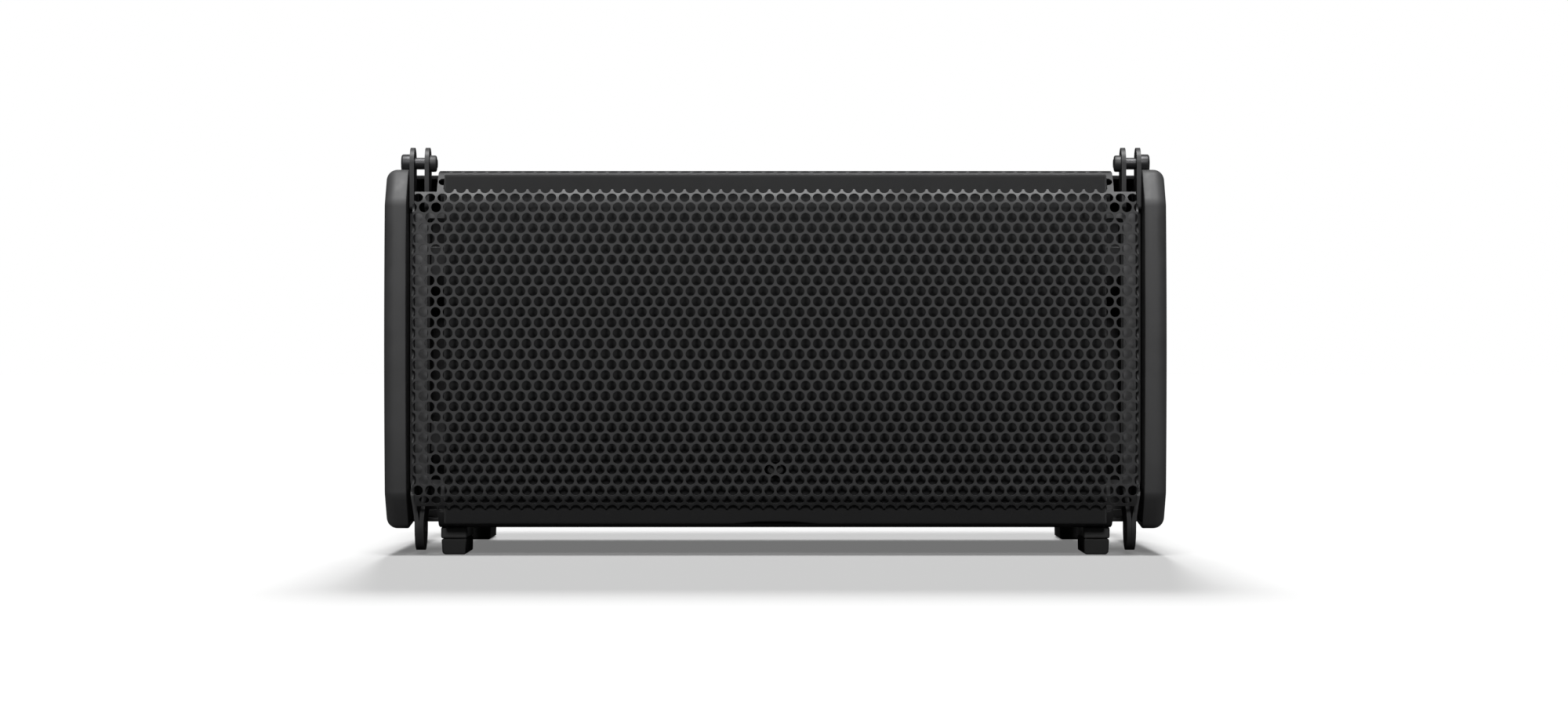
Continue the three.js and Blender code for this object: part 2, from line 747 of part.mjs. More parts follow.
// ---- rear flying hardware ----
function rearBracket() {
  const web = { front: 318, back: 321.5, low: -98, high: 112, flangeBack: 346 };
  const shape = new THREE.Shape();
  shape.moveTo(web.front, rearPin.height - 25);
  shape.lineTo(rearPin.depth - ear.radius, rearPin.height);
  shape.absarc(rearPin.depth, rearPin.height, ear.radius, Math.PI, 0, true);
  shape.lineTo(rearPivot.depth + ear.radius, rearPivot.height);
  shape.absarc(rearPivot.depth, rearPivot.height, ear.radius, 0, -Math.PI, true);
  shape.lineTo(web.front, rearPivot.height + 6);
  const outerSheet = alongX(shape, ear.outerFace - plate, ear.outerFace);
  const innerSheet = alongX(shape, ear.innerFace, ear.innerFace + plate + 0.1);
  const cabinetFace = cabinet.halfWidth + gap;
  const body = join(
    outerSheet,
    innerSheet,
    block(cabinetFace, ear.outerFace, web.front, web.back, web.low, web.high),
    block(cabinetFace, cabinetFace + plate, web.front, web.flangeBack, web.low + 8, web.high - 8),
    pinCollar(rearPin),
  );
  return drilled(body, rearPin.bore, [rearPin, rearPivot]);
}

// The bar that sets the angle to the next cabinet, folded up and leaning on the bracket's web.
function rearLink() {
  const lean = THREE.MathUtils.degToRad(link.lean);
  const reach = link.holes[link.holes.length - 1];
  const along = (distance) => ({
    depth: rearPivot.depth - distance * Math.sin(lean),
    height: rearPivot.height + distance * Math.cos(lean),
  });
  const tip = along(reach);
  const shape = new THREE.Shape();
  shape.absarc(tip.depth, tip.height, link.radius, lean, lean + Math.PI);
  shape.absarc(rearPivot.depth, rearPivot.height, link.radius, lean + Math.PI, lean + 2 * Math.PI);
  const bar = alongX(shape, link.inner, link.outer, { curveSegments: 10 });
  return drilled(bar, rearPin.bore, [rearPivot, ...link.holes.map(along)]);
}

function pivotBolt() {
  const { depth, height } = rearPivot;
  const profile = [
    [0, ear.innerFace - 5],
    [6.5, ear.innerFace - 5],
    [6.5, ear.innerFace - gap],
    [rearPin.radius, ear.innerFace - gap],
    [rearPin.radius, ear.outerFace + 0.1],
    [0, ear.outerFace + 0.1],
  ];
  return turnedAlongX(profile, depth, height);
}

addPair("rear_bracket", rearBracket(), finishes.hardwareSteel);
addPair("rear_link", rearLink(), finishes.hardwareSteel);
addPair("rear_pivot_bolt", pivotBolt(), finishes.pinSteel);

// ---- feet ----
const underGrille = 2.4; // room for the grille's flange between the foot and the cabinet
const floorHeight = -middleHeight;

function footBase(depth) {
  const end = depth + foot.length;
  const low = floorHeight + foot.padHeight + gap;
  const outline = [
    [depth, low],
    [end, low],
    [end, -roofHeight(end) - underGrille],
    [depth, -roofHeight(depth) - underGrille],
  ];
  return alongX(outline, foot.inner, foot.outer);
}

function footPad(depth) {
  const section = [
    [foot.inner + 1.5, floorHeight],
    [foot.outer - 2.6, floorHeight],
    [foot.outer - 1, floorHeight + 2],
    [foot.outer - 0.3, floorHeight + foot.padHeight],
    [foot.inner + 0.3, floorHeight + foot.padHeight],
    [foot.inner + 0.6, floorHeight + 1.2],
  ];
  return alongDepth(section, depth, depth + foot.length);
}

for (const [name, depth] of [["front", foot.frontDepth], ["rear", foot.rearDepth]]) {
  addPair(`foot_base_${name}`, footBase(depth), finishes.footPlastic);
  addPair(`foot_pad_${name}`, footPad(depth), finishes.rubber);
}

export default speaker;
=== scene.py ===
import json
import math

import bmesh
import bpy
import numpy as np
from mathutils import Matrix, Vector
from mathutils.geometry import tessellate_polygon


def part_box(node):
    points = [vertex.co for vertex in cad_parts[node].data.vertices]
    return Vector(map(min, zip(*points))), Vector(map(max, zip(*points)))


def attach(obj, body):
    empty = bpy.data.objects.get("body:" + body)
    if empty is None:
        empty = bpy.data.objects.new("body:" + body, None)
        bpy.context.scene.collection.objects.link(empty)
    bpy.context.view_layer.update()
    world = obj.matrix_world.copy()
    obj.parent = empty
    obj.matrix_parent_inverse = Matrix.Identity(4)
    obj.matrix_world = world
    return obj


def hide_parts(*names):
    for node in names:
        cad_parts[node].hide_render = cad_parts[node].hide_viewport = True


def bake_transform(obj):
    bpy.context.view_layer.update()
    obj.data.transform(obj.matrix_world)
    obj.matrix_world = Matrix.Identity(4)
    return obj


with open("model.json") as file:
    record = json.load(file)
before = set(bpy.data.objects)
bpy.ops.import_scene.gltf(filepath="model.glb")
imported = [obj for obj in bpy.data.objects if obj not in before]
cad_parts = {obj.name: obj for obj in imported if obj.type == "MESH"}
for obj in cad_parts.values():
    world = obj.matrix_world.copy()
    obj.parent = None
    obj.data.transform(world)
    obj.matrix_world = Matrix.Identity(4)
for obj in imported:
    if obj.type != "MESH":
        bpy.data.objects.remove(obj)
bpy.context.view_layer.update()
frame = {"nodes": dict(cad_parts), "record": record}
mm = 0.001  # every shape below is in millimetres and is scaled as it becomes a mesh

# Shapes are drawn in x, depth behind the front of the grille, and height above the cabinet's middle.
cheekLow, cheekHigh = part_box("cheek_cover_right")
middleHeight = (cheekLow.z + cheekHigh.z) / 2 / mm
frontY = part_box("grille")[0].y / mm
sides = (("right", 1), ("left", -1))
print("frame loaded, cabinet's middle at", round(middleHeight, 1), "mm")


# Tools that turn arrays of points into pieces.
def toFrame(x, depth, height):  # working coordinates to the row frame, still in millimetres
    x, depth, height = np.broadcast_arrays(x, depth, height)
    return np.stack([x, frontY + depth, middleHeight + height], axis=-1).astype(float)


def addPiece(name, points, faces, finish, body="cabinet", replaces=(), sharp=35):
    # points in millimetres become metres, and the faces join them
    mesh = bpy.data.meshes.new(name)
    mesh.from_pydata((np.asarray(points).reshape(-1, 3) * mm).tolist(), [], faces)
    mesh.validate()
    mesh.update()
    return finishPiece(name, mesh, finish, body, replaces, sharp)


def finishPiece(name, mesh, finish, body, replaces, sharp):
    # edges that turn by more degrees than sharp stay sharp; the piece then gets its body, material and replaced nodes
    piece = bpy.data.objects.new(name, mesh)
    bpy.context.scene.collection.objects.link(piece)
    mesh.materials.clear()
    mesh.materials.append(finish["material"])
    mesh.polygons.foreach_set("use_smooth", np.ones(len(mesh.polygons), bool))
    mesh.set_sharp_from_angle(angle=math.radians(sharp))
    if body:
        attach(piece, body)
    if replaces:
        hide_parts(*replaces)
    return piece


def outward(piece):  # turns every face outwards, for shapes that were mirrored or spun
    work = bmesh.new()
    work.from_mesh(piece.data)
    bmesh.ops.remove_doubles(work, verts=work.verts, dist=1e-6)
    bmesh.ops.recalc_face_normals(work, faces=work.faces)
    work.to_mesh(piece.data)
    work.free()
    piece.data.set_sharp_from_angle(angle=math.radians(35))
    return piece


def softEdges(piece, width, segments=2, angle=38):  # a small live bevel on the sharp edges
    bevel = piece.modifiers.new("softEdges", "BEVEL")
    bevel.width = width * mm
    bevel.segments = segments
    bevel.limit_method = "ANGLE"
    bevel.angle_limit = math.radians(angle)
    bevel.harden_normals = True
    bevel.miter_outer = "MITER_ARC"
    return piece


def gridFaces(rows, columns, closeRows=False, closeColumns=False):
    # quads between neighbouring rows and columns of a grid of points, numbered row by row
    down = np.arange(rows if closeRows else rows - 1)
    across = np.arange(columns if closeColumns else columns - 1)
    i, j = np.meshgrid(down, across, indexing="ij")
    nextRow, nextColumn = (i + 1) % rows, (j + 1) % columns
    quads = [i * columns + j, i * columns + nextColumn, nextRow * columns + nextColumn, nextRow * columns + j]
    return np.stack(quads, axis=-1).reshape(-1, 4).tolist()


def arc(centreX, centreY, radius, start, end, steps=16):
    # centre plus radius times cosine and sine of an angle that runs from start to end, in degrees
    angles = np.radians(np.linspace(start, end, steps))
    return np.stack([centreX + radius * np.cos(angles), centreY + radius * np.sin(angles)], axis=-1)


def filleted(corners, radii, steps=7):
    # each corner becomes an arc tangent to both its sides, radius times the tangent of half the turn from it
    corners = np.asarray(corners, float)
    rounded = []
    for index, radius in enumerate(radii):
        if not radius:
            rounded.append(corners[index:index + 1])
            continue
        here, before, after = corners[index], corners[index - 1], corners[(index + 1) % len(corners)]
        toBefore = (before - here) / np.linalg.norm(before - here)
        toAfter = (after - here) / np.linalg.norm(after - here)
        halfAngle = math.acos(np.clip(toBefore @ toAfter, -1, 1)) / 2
        reach = radius / math.tan(halfAngle)
        bisector = (toBefore + toAfter) / np.linalg.norm(toBefore + toAfter)
        centre = here + bisector * radius / math.sin(halfAngle)
        first, last = here + toBefore * reach - centre, here + toAfter * reach - centre
        sweep = math.pi - 2 * halfAngle
        turn = np.linspace(0, 1, steps)[:, None]
        mix = (np.sin((1 - turn) * sweep) * first + np.sin(turn * sweep) * last) / math.sin(sweep)
        rounded.append(centre + mix)
    return np.concatenate(rounded)


def slotLoop(length, tall, centreX=0.0, centreY=0.0, steps=14):  # two half circles joined by level sides
    radius = tall / 2
    reach = length / 2 - radius
    right = arc(centreX + reach, centreY, radius, -90, 90, steps)
    left = arc(centreX - reach, centreY, radius, 90, 270, steps)
    return np.concatenate([right, left])


def circleLoop(radius, centreX, centreY, steps=32):  # centre plus radius times cosine and sine, all the way round
    return arc(centreX, centreY, radius, 0, 360, steps + 1)[:-1]


def offsetLoop(loop, distance):  # every point moved inwards along the mean normal of its two sides
    ahead = np.roll(loop, -1, axis=0) - loop
    ahead /= np.linalg.norm(ahead, axis=1, keepdims=True)
    behind = np.roll(ahead, 1, axis=0)
    mean = ahead + behind
    mean /= np.linalg.norm(mean, axis=1, keepdims=True)
    normal = np.stack([-mean[:, 1], mean[:, 0]], axis=-1)
    area = np.sum(loop[:, 0] * np.roll(loop[:, 1], -1) - np.roll(loop[:, 0], -1) * loop[:, 1])
    stretch = 1 / np.clip(np.sum(mean * ahead, axis=1), 0.5, 1)
    return loop + normal * (distance * stretch * np.sign(area))[:, None]


def flatSheet(loops):  # a flat pattern, with the first loop as its outline and the others as its holes
    outlines = [[Vector((x, y, 0)) for x, y in loop] for loop in loops]
    corners = [corner for outline in outlines for corner in outline]
    sheet = bmesh.new()
    made = [sheet.verts.new(corner) for corner in corners]
    for a, b, c in tessellate_polygon(outlines):
        if (corners[b] - corners[a]).cross(corners[c] - corners[a]).length > 1e-9:
            sheet.faces.new((made[a], made[b], made[c]))
    bmesh.ops.recalc_face_normals(sheet, faces=sheet.faces)
    return sheet


def sliceSheet(sheet, axis, places):  # extra edges across a flat pattern, where it will be folded
    normal = Vector((1, 0, 0)) if axis == 0 else Vector((0, 1, 0))
    for place in places:
        geometry = sheet.verts[:] + sheet.edges[:] + sheet.faces[:]
        bmesh.ops.bisect_plane(sheet, geom=geometry, dist=1e-5, plane_co=normal * place, plane_no=normal)


def thickSheet(name, sheet, place, finish, **options):
    # the flat pattern's points go through place(u, v, 0) and place(u, v, 1), and its open edges get walls
    flat = bpy.data.meshes.new(name + "_flat")
    for face in sheet.faces:
        if face.normal.z < 0:
            face.normal_flip()
    sheet.to_mesh(flat)
    sheet.free()
    count = len(flat.vertices)
    points = np.empty(count * 3)
    flat.vertices.foreach_get("co", points)
    u, v = points.reshape(-1, 3)[:, 0], points.reshape(-1, 3)[:, 1]
    loopVertices = np.empty(len(flat.loops), int)
    loopEdges = np.empty(len(flat.loops), int)
    flat.loops.foreach_get("vertex_index", loopVertices)
    flat.loops.foreach_get("edge_index", loopEdges)
    starts = np.empty(len(flat.polygons), int)
    totals = np.empty(len(flat.polygons), int)
    flat.polygons.foreach_get("loop_start", starts)
    flat.polygons.foreach_get("loop_total", totals)
    following = np.arange(len(loopVertices)) + 1
    following[starts + totals - 1] = starts
    onRim = np.bincount(loopEdges)[loopEdges] == 1
    here, there = loopVertices[onRim], loopVertices[following][onRim]
    walls = np.stack([there, here, here + count, there + count], axis=-1).tolist()
    front = [loopVertices[s:s + t].tolist() for s, t in zip(starts, totals)]
    back = [(loopVertices[s:s + t][::-1] + count).tolist() for s, t in zip(starts, totals)]
    bpy.data.meshes.remove(flat)
    solid = np.concatenate([place(u, v, 0), place(u, v, 1)])
    return addPiece(name, solid, front + back + walls, finish, **options)


def lathe(name, profile, x, depth, height, axis, finish, segments=48, **options):
    # closed profile of (radius, station) round a line: radius times cosine and sine of the angle, at the station
    profile = np.asarray(profile, float)
    angles = np.linspace(0, 2 * math.pi, segments, endpoint=False)
    radius, station = profile[:, 0][:, None], profile[:, 1][:, None] + 0 * angles
    across, up = radius * np.cos(angles), radius * np.sin(angles)
    if axis == "x":
        points = toFrame(station, depth + across, height + up)
    else:
        points = toFrame(x + across, station, height + up)
    return outward(addPiece(name, points, gridFaces(len(profile), segments, True, True), finish, **options))


def latheAcross(name, profile, side, spot, finish, **options):  # turned about a line along x, mirrored by side
    return lathe(name, [(radius, side * station) for radius, station in profile], 0, *spot, "x", finish, **options)


def latheWoofer(name, profile, side, finish, **options):  # turned about a woofer's own axis
    return lathe(name, profile, side * wooferForm["x"], 0, 0, "depth", finish, **options)


def block(name, x, depth, height, finish, soften=0.4, **options):  # a bevelled block between three pairs of limits
    loop = np.array([[x[0], depth[0]], [x[1], depth[0]], [x[1], depth[1]], [x[0], depth[1]]], float)
    place = lambda u, v, w: toFrame(u, v, height[0] + w * (height[1] - height[0]))
    return softEdges(outward(thickSheet(name, flatSheet([loop]), place, finish, **options)), soften)


def softened(node, finish, width, segments=2):
    # a CAD node's own shape with its seams closed, its flat faces whole and its edges broken
    work = bmesh.new()
    work.from_mesh(frame["nodes"][node].data)
    bmesh.ops.remove_doubles(work, verts=work.verts, dist=1e-6)
    bmesh.ops.dissolve_limit(work, angle_limit=math.radians(1), verts=work.verts, edges=work.edges)
    mesh = bpy.data.meshes.new(node + "_finished")
    work.to_mesh(mesh)
    work.free()
    piece = finishPiece(node + "_finished", mesh, finish, "cabinet", (node,), 25)
    return softEdges(piece, width, segments)


def cutBy(piece, cutter):  # takes the cutter's shape out of the piece, and removes the cutter
    cut = piece.modifiers.new("cut", "BOOLEAN")
    cut.operation = "DIFFERENCE"
    cut.solver = "EXACT"
    cut.object = cutter
    evaluated = piece.evaluated_get(bpy.context.evaluated_depsgraph_get())
    result = bpy.data.meshes.new_from_object(evaluated)
    piece.modifiers.clear()
    piece.data = result
    bpy.data.objects.remove(cutter)
    result.polygons.foreach_set("use_smooth", np.ones(len(result.polygons), bool))
    result.set_sharp_from_angle(angle=math.radians(30))
    return piece


# Tools for materials: short names for nodes, and the effects that every finish shares.
class Nodes:  # short names for making and linking the nodes of one tree
    def __init__(self, tree):
        self.tree = tree
        tree.nodes.clear()

    def add(self, kind, inputs=None, **settings):
        node = self.tree.nodes.new(kind)
        for key, value in settings.items():
            setattr(node, key, value)
        for key, value in (inputs or {}).items():
            if isinstance(value, bpy.types.NodeSocket):
                self.tree.links.new(value, node.inputs[key])
            else:
                node.inputs[key].default_value = value
        return node

    def math(self, operation, a, b=0.0):
        return self.add("ShaderNodeMath", {0: a, 1: b}, operation=operation).outputs[0]

    def ramp(self, value, low, high, toLow=0.0, toHigh=1.0):
        limits = {"Value": value, "From Min": low, "From Max": high, "To Min": toLow, "To Max": toHigh}
        return self.add("ShaderNodeMapRange", limits, interpolation_type="SMOOTHSTEP").outputs["Result"]

    def mixColour(self, factor, a, b):
        return self.add("ShaderNodeMix", {0: factor, 6: a, 7: b}, data_type="RGBA").outputs[2]


def newGroup(name, inputs, outputs):  # a shader group that takes and gives named values
    group = bpy.data.node_groups.new(name, "ShaderNodeTree")
    nodes = Nodes(group)
    for label, default in inputs.items():
        socket = group.interface.new_socket(name=label, in_out="INPUT", socket_type="NodeSocketFloat")
        socket.default_value = default
    for label in outputs:
        group.interface.new_socket(name=label, in_out="OUTPUT", socket_type="NodeSocketFloat")
    source = nodes.add("NodeGroupInput").outputs
    sink = nodes.add("NodeGroupOutput").inputs
    return group, nodes, source, sink


def makeGrainGroup():
    # Height is fine noise plus coarse cells, Mottle a slow noise that shifts colour and gloss
    inputs = {"Size": 0.5, "Pebble": 0.5, "Patch": 40.0}
    group, nodes, source, sink = newGroup("surfaceGrain", inputs, ("Height", "Mottle"))
    place = nodes.add("ShaderNodeTexCoord").outputs["Object"]
    perMetre = nodes.math("DIVIDE", 1000.0, source["Size"])
    fine = nodes.add("ShaderNodeTexNoise", {"Vector": place, "Scale": perMetre, "Detail": 3.0}).outputs[0]
    cells = nodes.add("ShaderNodeTexVoronoi", {"Vector": place, "Scale": nodes.math("MULTIPLY", perMetre, 0.6)},
                      feature="SMOOTH_F1").outputs["Distance"]
    pebbled = nodes.math("MULTIPLY", nodes.math("SUBTRACT", 1.0, cells), source["Pebble"])
    rest = nodes.math("MULTIPLY", fine, nodes.math("SUBTRACT", 1.0, source["Pebble"]))
    nodes.tree.links.new(nodes.math("ADD", pebbled, rest), sink["Height"])
    perPatch = nodes.math("DIVIDE", 1000.0, source["Patch"])
    slow = nodes.add("ShaderNodeTexNoise", {"Vector": place, "Scale": perPatch, "Detail": 5.0, "Roughness": 0.6})
    nodes.tree.links.new(nodes.ramp(slow.outputs[0], 0.3, 0.7), sink["Mottle"])
    return group


def makeWearGroup():
    # Wear is where the rounded normal turns away from the true one, broken up by noise: rubbed edges
    group, nodes, source, sink = newGroup("edgeWear", {"Width": 0.6, "Amount": 0.5}, ("Wear",))
    radius = nodes.math("MULTIPLY", source["Width"], mm)
    rounded = nodes.add("ShaderNodeBevel", {"Radius": radius}, samples=4).outputs[0]
    true = nodes.add("ShaderNodeNewGeometry").outputs["Normal"]
    facing = nodes.add("ShaderNodeVectorMath", {0: rounded, 1: true}, operation="DOT_PRODUCT").outputs["Value"]
    edge = nodes.ramp(facing, 0.995, 0.9)
    place = nodes.add("ShaderNodeTexCoord").outputs["Object"]
    broken = nodes.add("ShaderNodeTexNoise", {"Vector": place, "Scale": 160.0, "Detail": 6.0}).outputs[0]
    spots = nodes.ramp(broken, 0.45, 0.75)
    nodes.tree.links.new(nodes.math("MULTIPLY", nodes.math("MULTIPLY", edge, spots), source["Amount"]), sink["Wear"])
    return group


def makeDustGroup():
    # Dust lies on faces that look up, in patches
    group, nodes, source, sink = newGroup("dustFilm", {"Amount": 0.2}, ("Dust",))
    normal = nodes.add("ShaderNodeNewGeometry").outputs["Normal"]
    up = nodes.ramp(nodes.add("ShaderNodeSeparateXYZ", {0: normal}).outputs["Z"], 0.3, 1.0)
    place = nodes.add("ShaderNodeTexCoord").outputs["Object"]
    patches = nodes.add("ShaderNodeTexNoise", {"Vector": place, "Scale": 22.0, "Detail": 7.0, "Roughness": 0.7})
    laid = nodes.math("MULTIPLY", up, nodes.ramp(patches.outputs[0], 0.35, 0.75))
    nodes.tree.links.new(nodes.math("MULTIPLY", laid, source["Amount"]), sink["Dust"])
    return group


def makeTwillGroup():
    # diagonal ridges: a sawtooth of x plus height over the spacing, crossed by a finer thread along each ridge; the
    # Shade output is painted shade, darkest where the weave is low
    group, nodes, source, sink = newGroup("twillWeave", {"Spacing": 1.0}, ("Height", "Shade"))
    place = nodes.add("ShaderNodeTexCoord").outputs["Object"]
    wobble = nodes.add("ShaderNodeTexNoise", {"Vector": place, "Scale": 90.0, "Detail": 2.0}).outputs[0]
    axes = nodes.add("ShaderNodeSeparateXYZ", {0: place}).outputs
    perMetre = nodes.math("DIVIDE", 1000.0, source["Spacing"])
    along = nodes.math("SUBTRACT", axes["X"], axes["Z"])
    across = nodes.math("ADD", nodes.math("ADD", axes["X"], axes["Z"]), axes["Y"])
    shift = nodes.math("MULTIPLY", wobble, 0.5)
    ridgePhase = nodes.math("ADD", nodes.math("MULTIPLY", along, perMetre), shift)
    ridge = nodes.math("PINGPONG", ridgePhase, 0.5)
    thread = nodes.math("PINGPONG", nodes.math("MULTIPLY", across, nodes.math("MULTIPLY", perMetre, 2.2)), 0.5)
    height = nodes.math("ADD", nodes.math("MULTIPLY", ridge, 1.4), nodes.math("MULTIPLY", thread, 0.6))
    nodes.tree.links.new(height, sink["Height"])
    nodes.tree.links.new(nodes.ramp(height, 0.2, 0.9), sink["Shade"])
    return group


grainGroup, wearGroup, dustGroup, twillGroup = makeGrainGroup(), makeWearGroup(), makeDustGroup(), makeTwillGroup()


dustColour = (0.16, 0.155, 0.145, 1.0)


def makeFinish(name, slot, colour, rough, metal=0.0, grain=0.5, pebble=0.3, bump=0.15, depth=0.1,
               wear=0.3, wearColour=(0.25, 0.25, 0.25), dust=0.05, mottle=0.12, sheen=0.0, specular=0.5, twill=0.0):
    # base colour with slow mottling, worn edges and dust over it; roughness and bump from the same grain
    material = bpy.data.materials.new(name)
    material.use_nodes = True
    nodes = Nodes(material.node_tree)
    texture = nodes.add("ShaderNodeGroup", node_tree=grainGroup)
    texture.inputs["Size"].default_value = grain
    texture.inputs["Pebble"].default_value = pebble
    worn = nodes.add("ShaderNodeGroup", {"Amount": wear}, node_tree=wearGroup).outputs["Wear"]
    dusty = nodes.add("ShaderNodeGroup", {"Amount": dust}, node_tree=dustGroup).outputs["Dust"]
    dark = (*[c * (1 - mottle) for c in colour], 1.0)
    light = (*[c * (1 + mottle) for c in colour], 1.0)
    base = nodes.mixColour(texture.outputs["Mottle"], dark, light)
    height = texture.outputs["Height"]
    if twill:
        weave = nodes.add("ShaderNodeGroup", {"Spacing": twill}, node_tree=twillGroup)
        height = nodes.math("ADD", weave.outputs["Height"], nodes.math("MULTIPLY", height, 0.35))
        # painted shade: the weave's low grooves are darkened to 0.45 of the cloth colour
        base = nodes.mixColour(weave.outputs["Shade"], (*[c * 0.45 for c in colour], 1.0), base)
    base = nodes.mixColour(worn, base, (*wearColour, 1.0))
    base = nodes.mixColour(dusty, base, dustColour)
    gloss = nodes.ramp(texture.outputs["Mottle"], 0.0, 1.0, rough * 0.88, min(rough * 1.12, 1.0))
    gloss = nodes.math("ADD", gloss, nodes.math("MULTIPLY", dusty, 0.3))
    bumped = nodes.add("ShaderNodeBump", {"Height": height, "Strength": bump, "Distance": depth * mm})
    shader = nodes.add("ShaderNodeBsdfPrincipled", {"Base Color": base, "Roughness": gloss,
                                                    "Normal": bumped.outputs["Normal"]})
    shader.inputs["Metallic"].default_value = metal
    shader.inputs["Specular IOR Level"].default_value = specular
    shader.inputs["Sheen Weight"].default_value = sheen
    nodes.add("ShaderNodeOutputMaterial", {"Surface": shader.outputs[0]})
    return {"material": material, "slot": slot}


finishes = {
    "paint": makeFinish("polyureaPaint", "painted_ply", (0.030, 0.030, 0.031), 0.62, grain=1.5, pebble=0.65,
                        bump=0.75, depth=0.35, wear=0.25, dust=0.03, mottle=0.06),
    "grille": makeFinish("grillePowderCoat", "grille_steel", (0.047, 0.047, 0.048), 0.55, grain=0.35, pebble=0.4,
                         bump=0.3, depth=0.05, wear=0.15, dust=0.0, mottle=0.06, specular=0.35),
    "cloth": makeFinish("blackTwill", "cloth", (0.042, 0.042, 0.043), 0.9, grain=0.3, bump=0.8, depth=0.25,
                        wear=0.0, dust=0.05, sheen=0.25, specular=0.2, twill=1.0),
    "cheek": makeFinish("cheekMoulding", "cheek_plastic", (0.052, 0.052, 0.053), 0.55, grain=0.55, pebble=0.6,
                        bump=0.4, depth=0.08, wear=0.3, dust=0.05, mottle=0.08),
    "liner": makeFinish("linerPowderCoat", "cheek_liner", (0.04, 0.04, 0.041), 0.5, grain=0.35, bump=0.3, depth=0.05),
    "hardware": makeFinish("hardwarePowderCoat", "steel_hardware", (0.038, 0.038, 0.039), 0.5, grain=0.4,
                           pebble=0.4, bump=0.3, depth=0.05, wear=0.2, wearColour=(0.2, 0.2, 0.21)),
    "pin": makeFinish("blackOxide", "pin_steel", (0.045, 0.045, 0.047), 0.42, metal=0.5, grain=0.25, bump=0.1,
                      depth=0.02, wear=0.4, wearColour=(0.3, 0.3, 0.31), dust=0.03),
    # painted light: the face plate is the same powder-coated steel as the other hardware, made about three times
    # lighter so that it shows bright behind the grille's shadow
    "facePlate": makeFinish("facePlatePaintedLightCoat", "steel_hardware", (0.11, 0.11, 0.112), 0.5, grain=0.4, pebble=0.4,
                            bump=0.3, depth=0.05, wear=0.2),
    "rubber": makeFinish("footRubber", "foot_rubber", (0.032, 0.032, 0.032), 0.82, grain=0.5, pebble=0.5,
                         bump=0.35, depth=0.08, wear=0.2, wearColour=(0.07, 0.07, 0.07), dust=0.1, specular=0.3),
    "foot": makeFinish("footMoulding", "foot_plastic", (0.036, 0.036, 0.036), 0.6, grain=0.5, pebble=0.5,
                       bump=0.35, depth=0.07, wear=0.2, wearColour=(0.09, 0.09, 0.09)),
    "basket": makeFinish("castBasket", "woofer_frame", (0.05, 0.05, 0.052), 0.55, metal=0.3, grain=0.8, bump=0.3),
    "magnet": makeFinish("magnetPlating", "magnet", (0.06, 0.06, 0.064), 0.5, metal=0.4, grain=0.6, bump=0.2),
    "cone": makeFinish("conePaper", "cone_paper", (0.02, 0.02, 0.02), 0.85, grain=1.2, bump=0.5, depth=0.15, wear=0),
    "surround": makeFinish("dopedCloth", "surround_rubber", (0.015, 0.015, 0.015), 0.5, grain=0.5, bump=0.4, wear=0),
    "spider": makeFinish("spiderCloth", "spider_cloth", (0.35, 0.2, 0.07), 0.9, grain=0.4, bump=0.6, wear=0),
    "horn": makeFinish("hornMoulding", "horn_plastic", (0.02, 0.02, 0.02), 0.45, grain=0.4, bump=0.2,
                       wearColour=(0.08, 0.08, 0.08)),
    "socket": makeFinish("socketMoulding", "socket_plastic", (0.016, 0.019, 0.03), 0.38, grain=0.3, bump=0.12,
                         wear=0.2, wearColour=(0.08, 0.09, 0.12)),
    "circuit": makeFinish("solderMask", "circuit", (0.012, 0.08, 0.025), 0.35, grain=0.9, bump=0.2, wear=0),
}
print("finishes made:", len(finishes))


# The grille: one folded, perforated sheet, drawn flat and then bent.
grilleForm = {
    "halfWidth": 287.8,
    "bow": 5.0,
    "creaseHeight": 117.1,
    "shoulderRadius": 77.7,
    "shoulderAngles": (30.0, 53.4),  # from the vertical
    "crest": (39.5, 142.7),  # depth and height where the flange stops rising and starts down to the roof
    "flangeEnd": 52.0,
    "thickness": 1.5,
    "pitch": 9.6,
    "holeRadius": 4.0,
    "cornerRadius": 1.8,
    "returnLength": 12.5,
    "returnHalfHeight": 115.0,
    "wingTop": 126.3,  # along the sheet
    "tabEdge": 268.6,
    "windowHalfWidth": 263.6,
    "windowTop": 146.8,
    "rimSteps": 18,
    # rows of holes are counted from the middle: the last full one, the one on the tabs, the one past the bend
    "lastRow": 15,
    "tabRow": 16,
    "bentRow": 18,
    # how far from the middle a row's holes go: full rows, lower corners, rows past the last full one
    "holesTo": 289.5,
    "cornerHolesTo": 286.0,
    "edgeHolesTo": 266.0,
}
cabinetForm = {"halfHeight": 140.0, "front": 30.0, "taper": math.tan(math.radians(5)), "halfWidth": 262.0}


def roofHeight(depth):  # the cabinet's top falls by the taper for each millimetre of depth
    return cabinetForm["halfHeight"] - (depth - cabinetForm["front"]) * cabinetForm["taper"]


def grilleSection():
    # depth = bow times height squared up to the crease, then an arc, then the flange; length sums the steps
    form = grilleForm
    heights = np.linspace(0, form["creaseHeight"], 24)
    bowed = np.stack([form["bow"] * (heights / form["creaseHeight"]) ** 2, heights], axis=-1)
    start, end = np.radians(form["shoulderAngles"])
    angles = np.linspace(start, end, 24)[1:]
    shoulder = np.stack([
        form["bow"] + form["shoulderRadius"] * (math.cos(start) - np.cos(angles)),
        form["creaseHeight"] + form["shoulderRadius"] * (np.sin(angles) - math.sin(start)),
    ], axis=-1)
    flangeEnd = [form["flangeEnd"], roofHeight(form["flangeEnd"]) + 0.3 + form["thickness"]]
    points = np.concatenate([bowed, shoulder, [form["crest"], flangeEnd]])
    lengths = np.concatenate([[0], np.cumsum(np.linalg.norm(np.diff(points, axis=0), axis=1))])
    return points, lengths


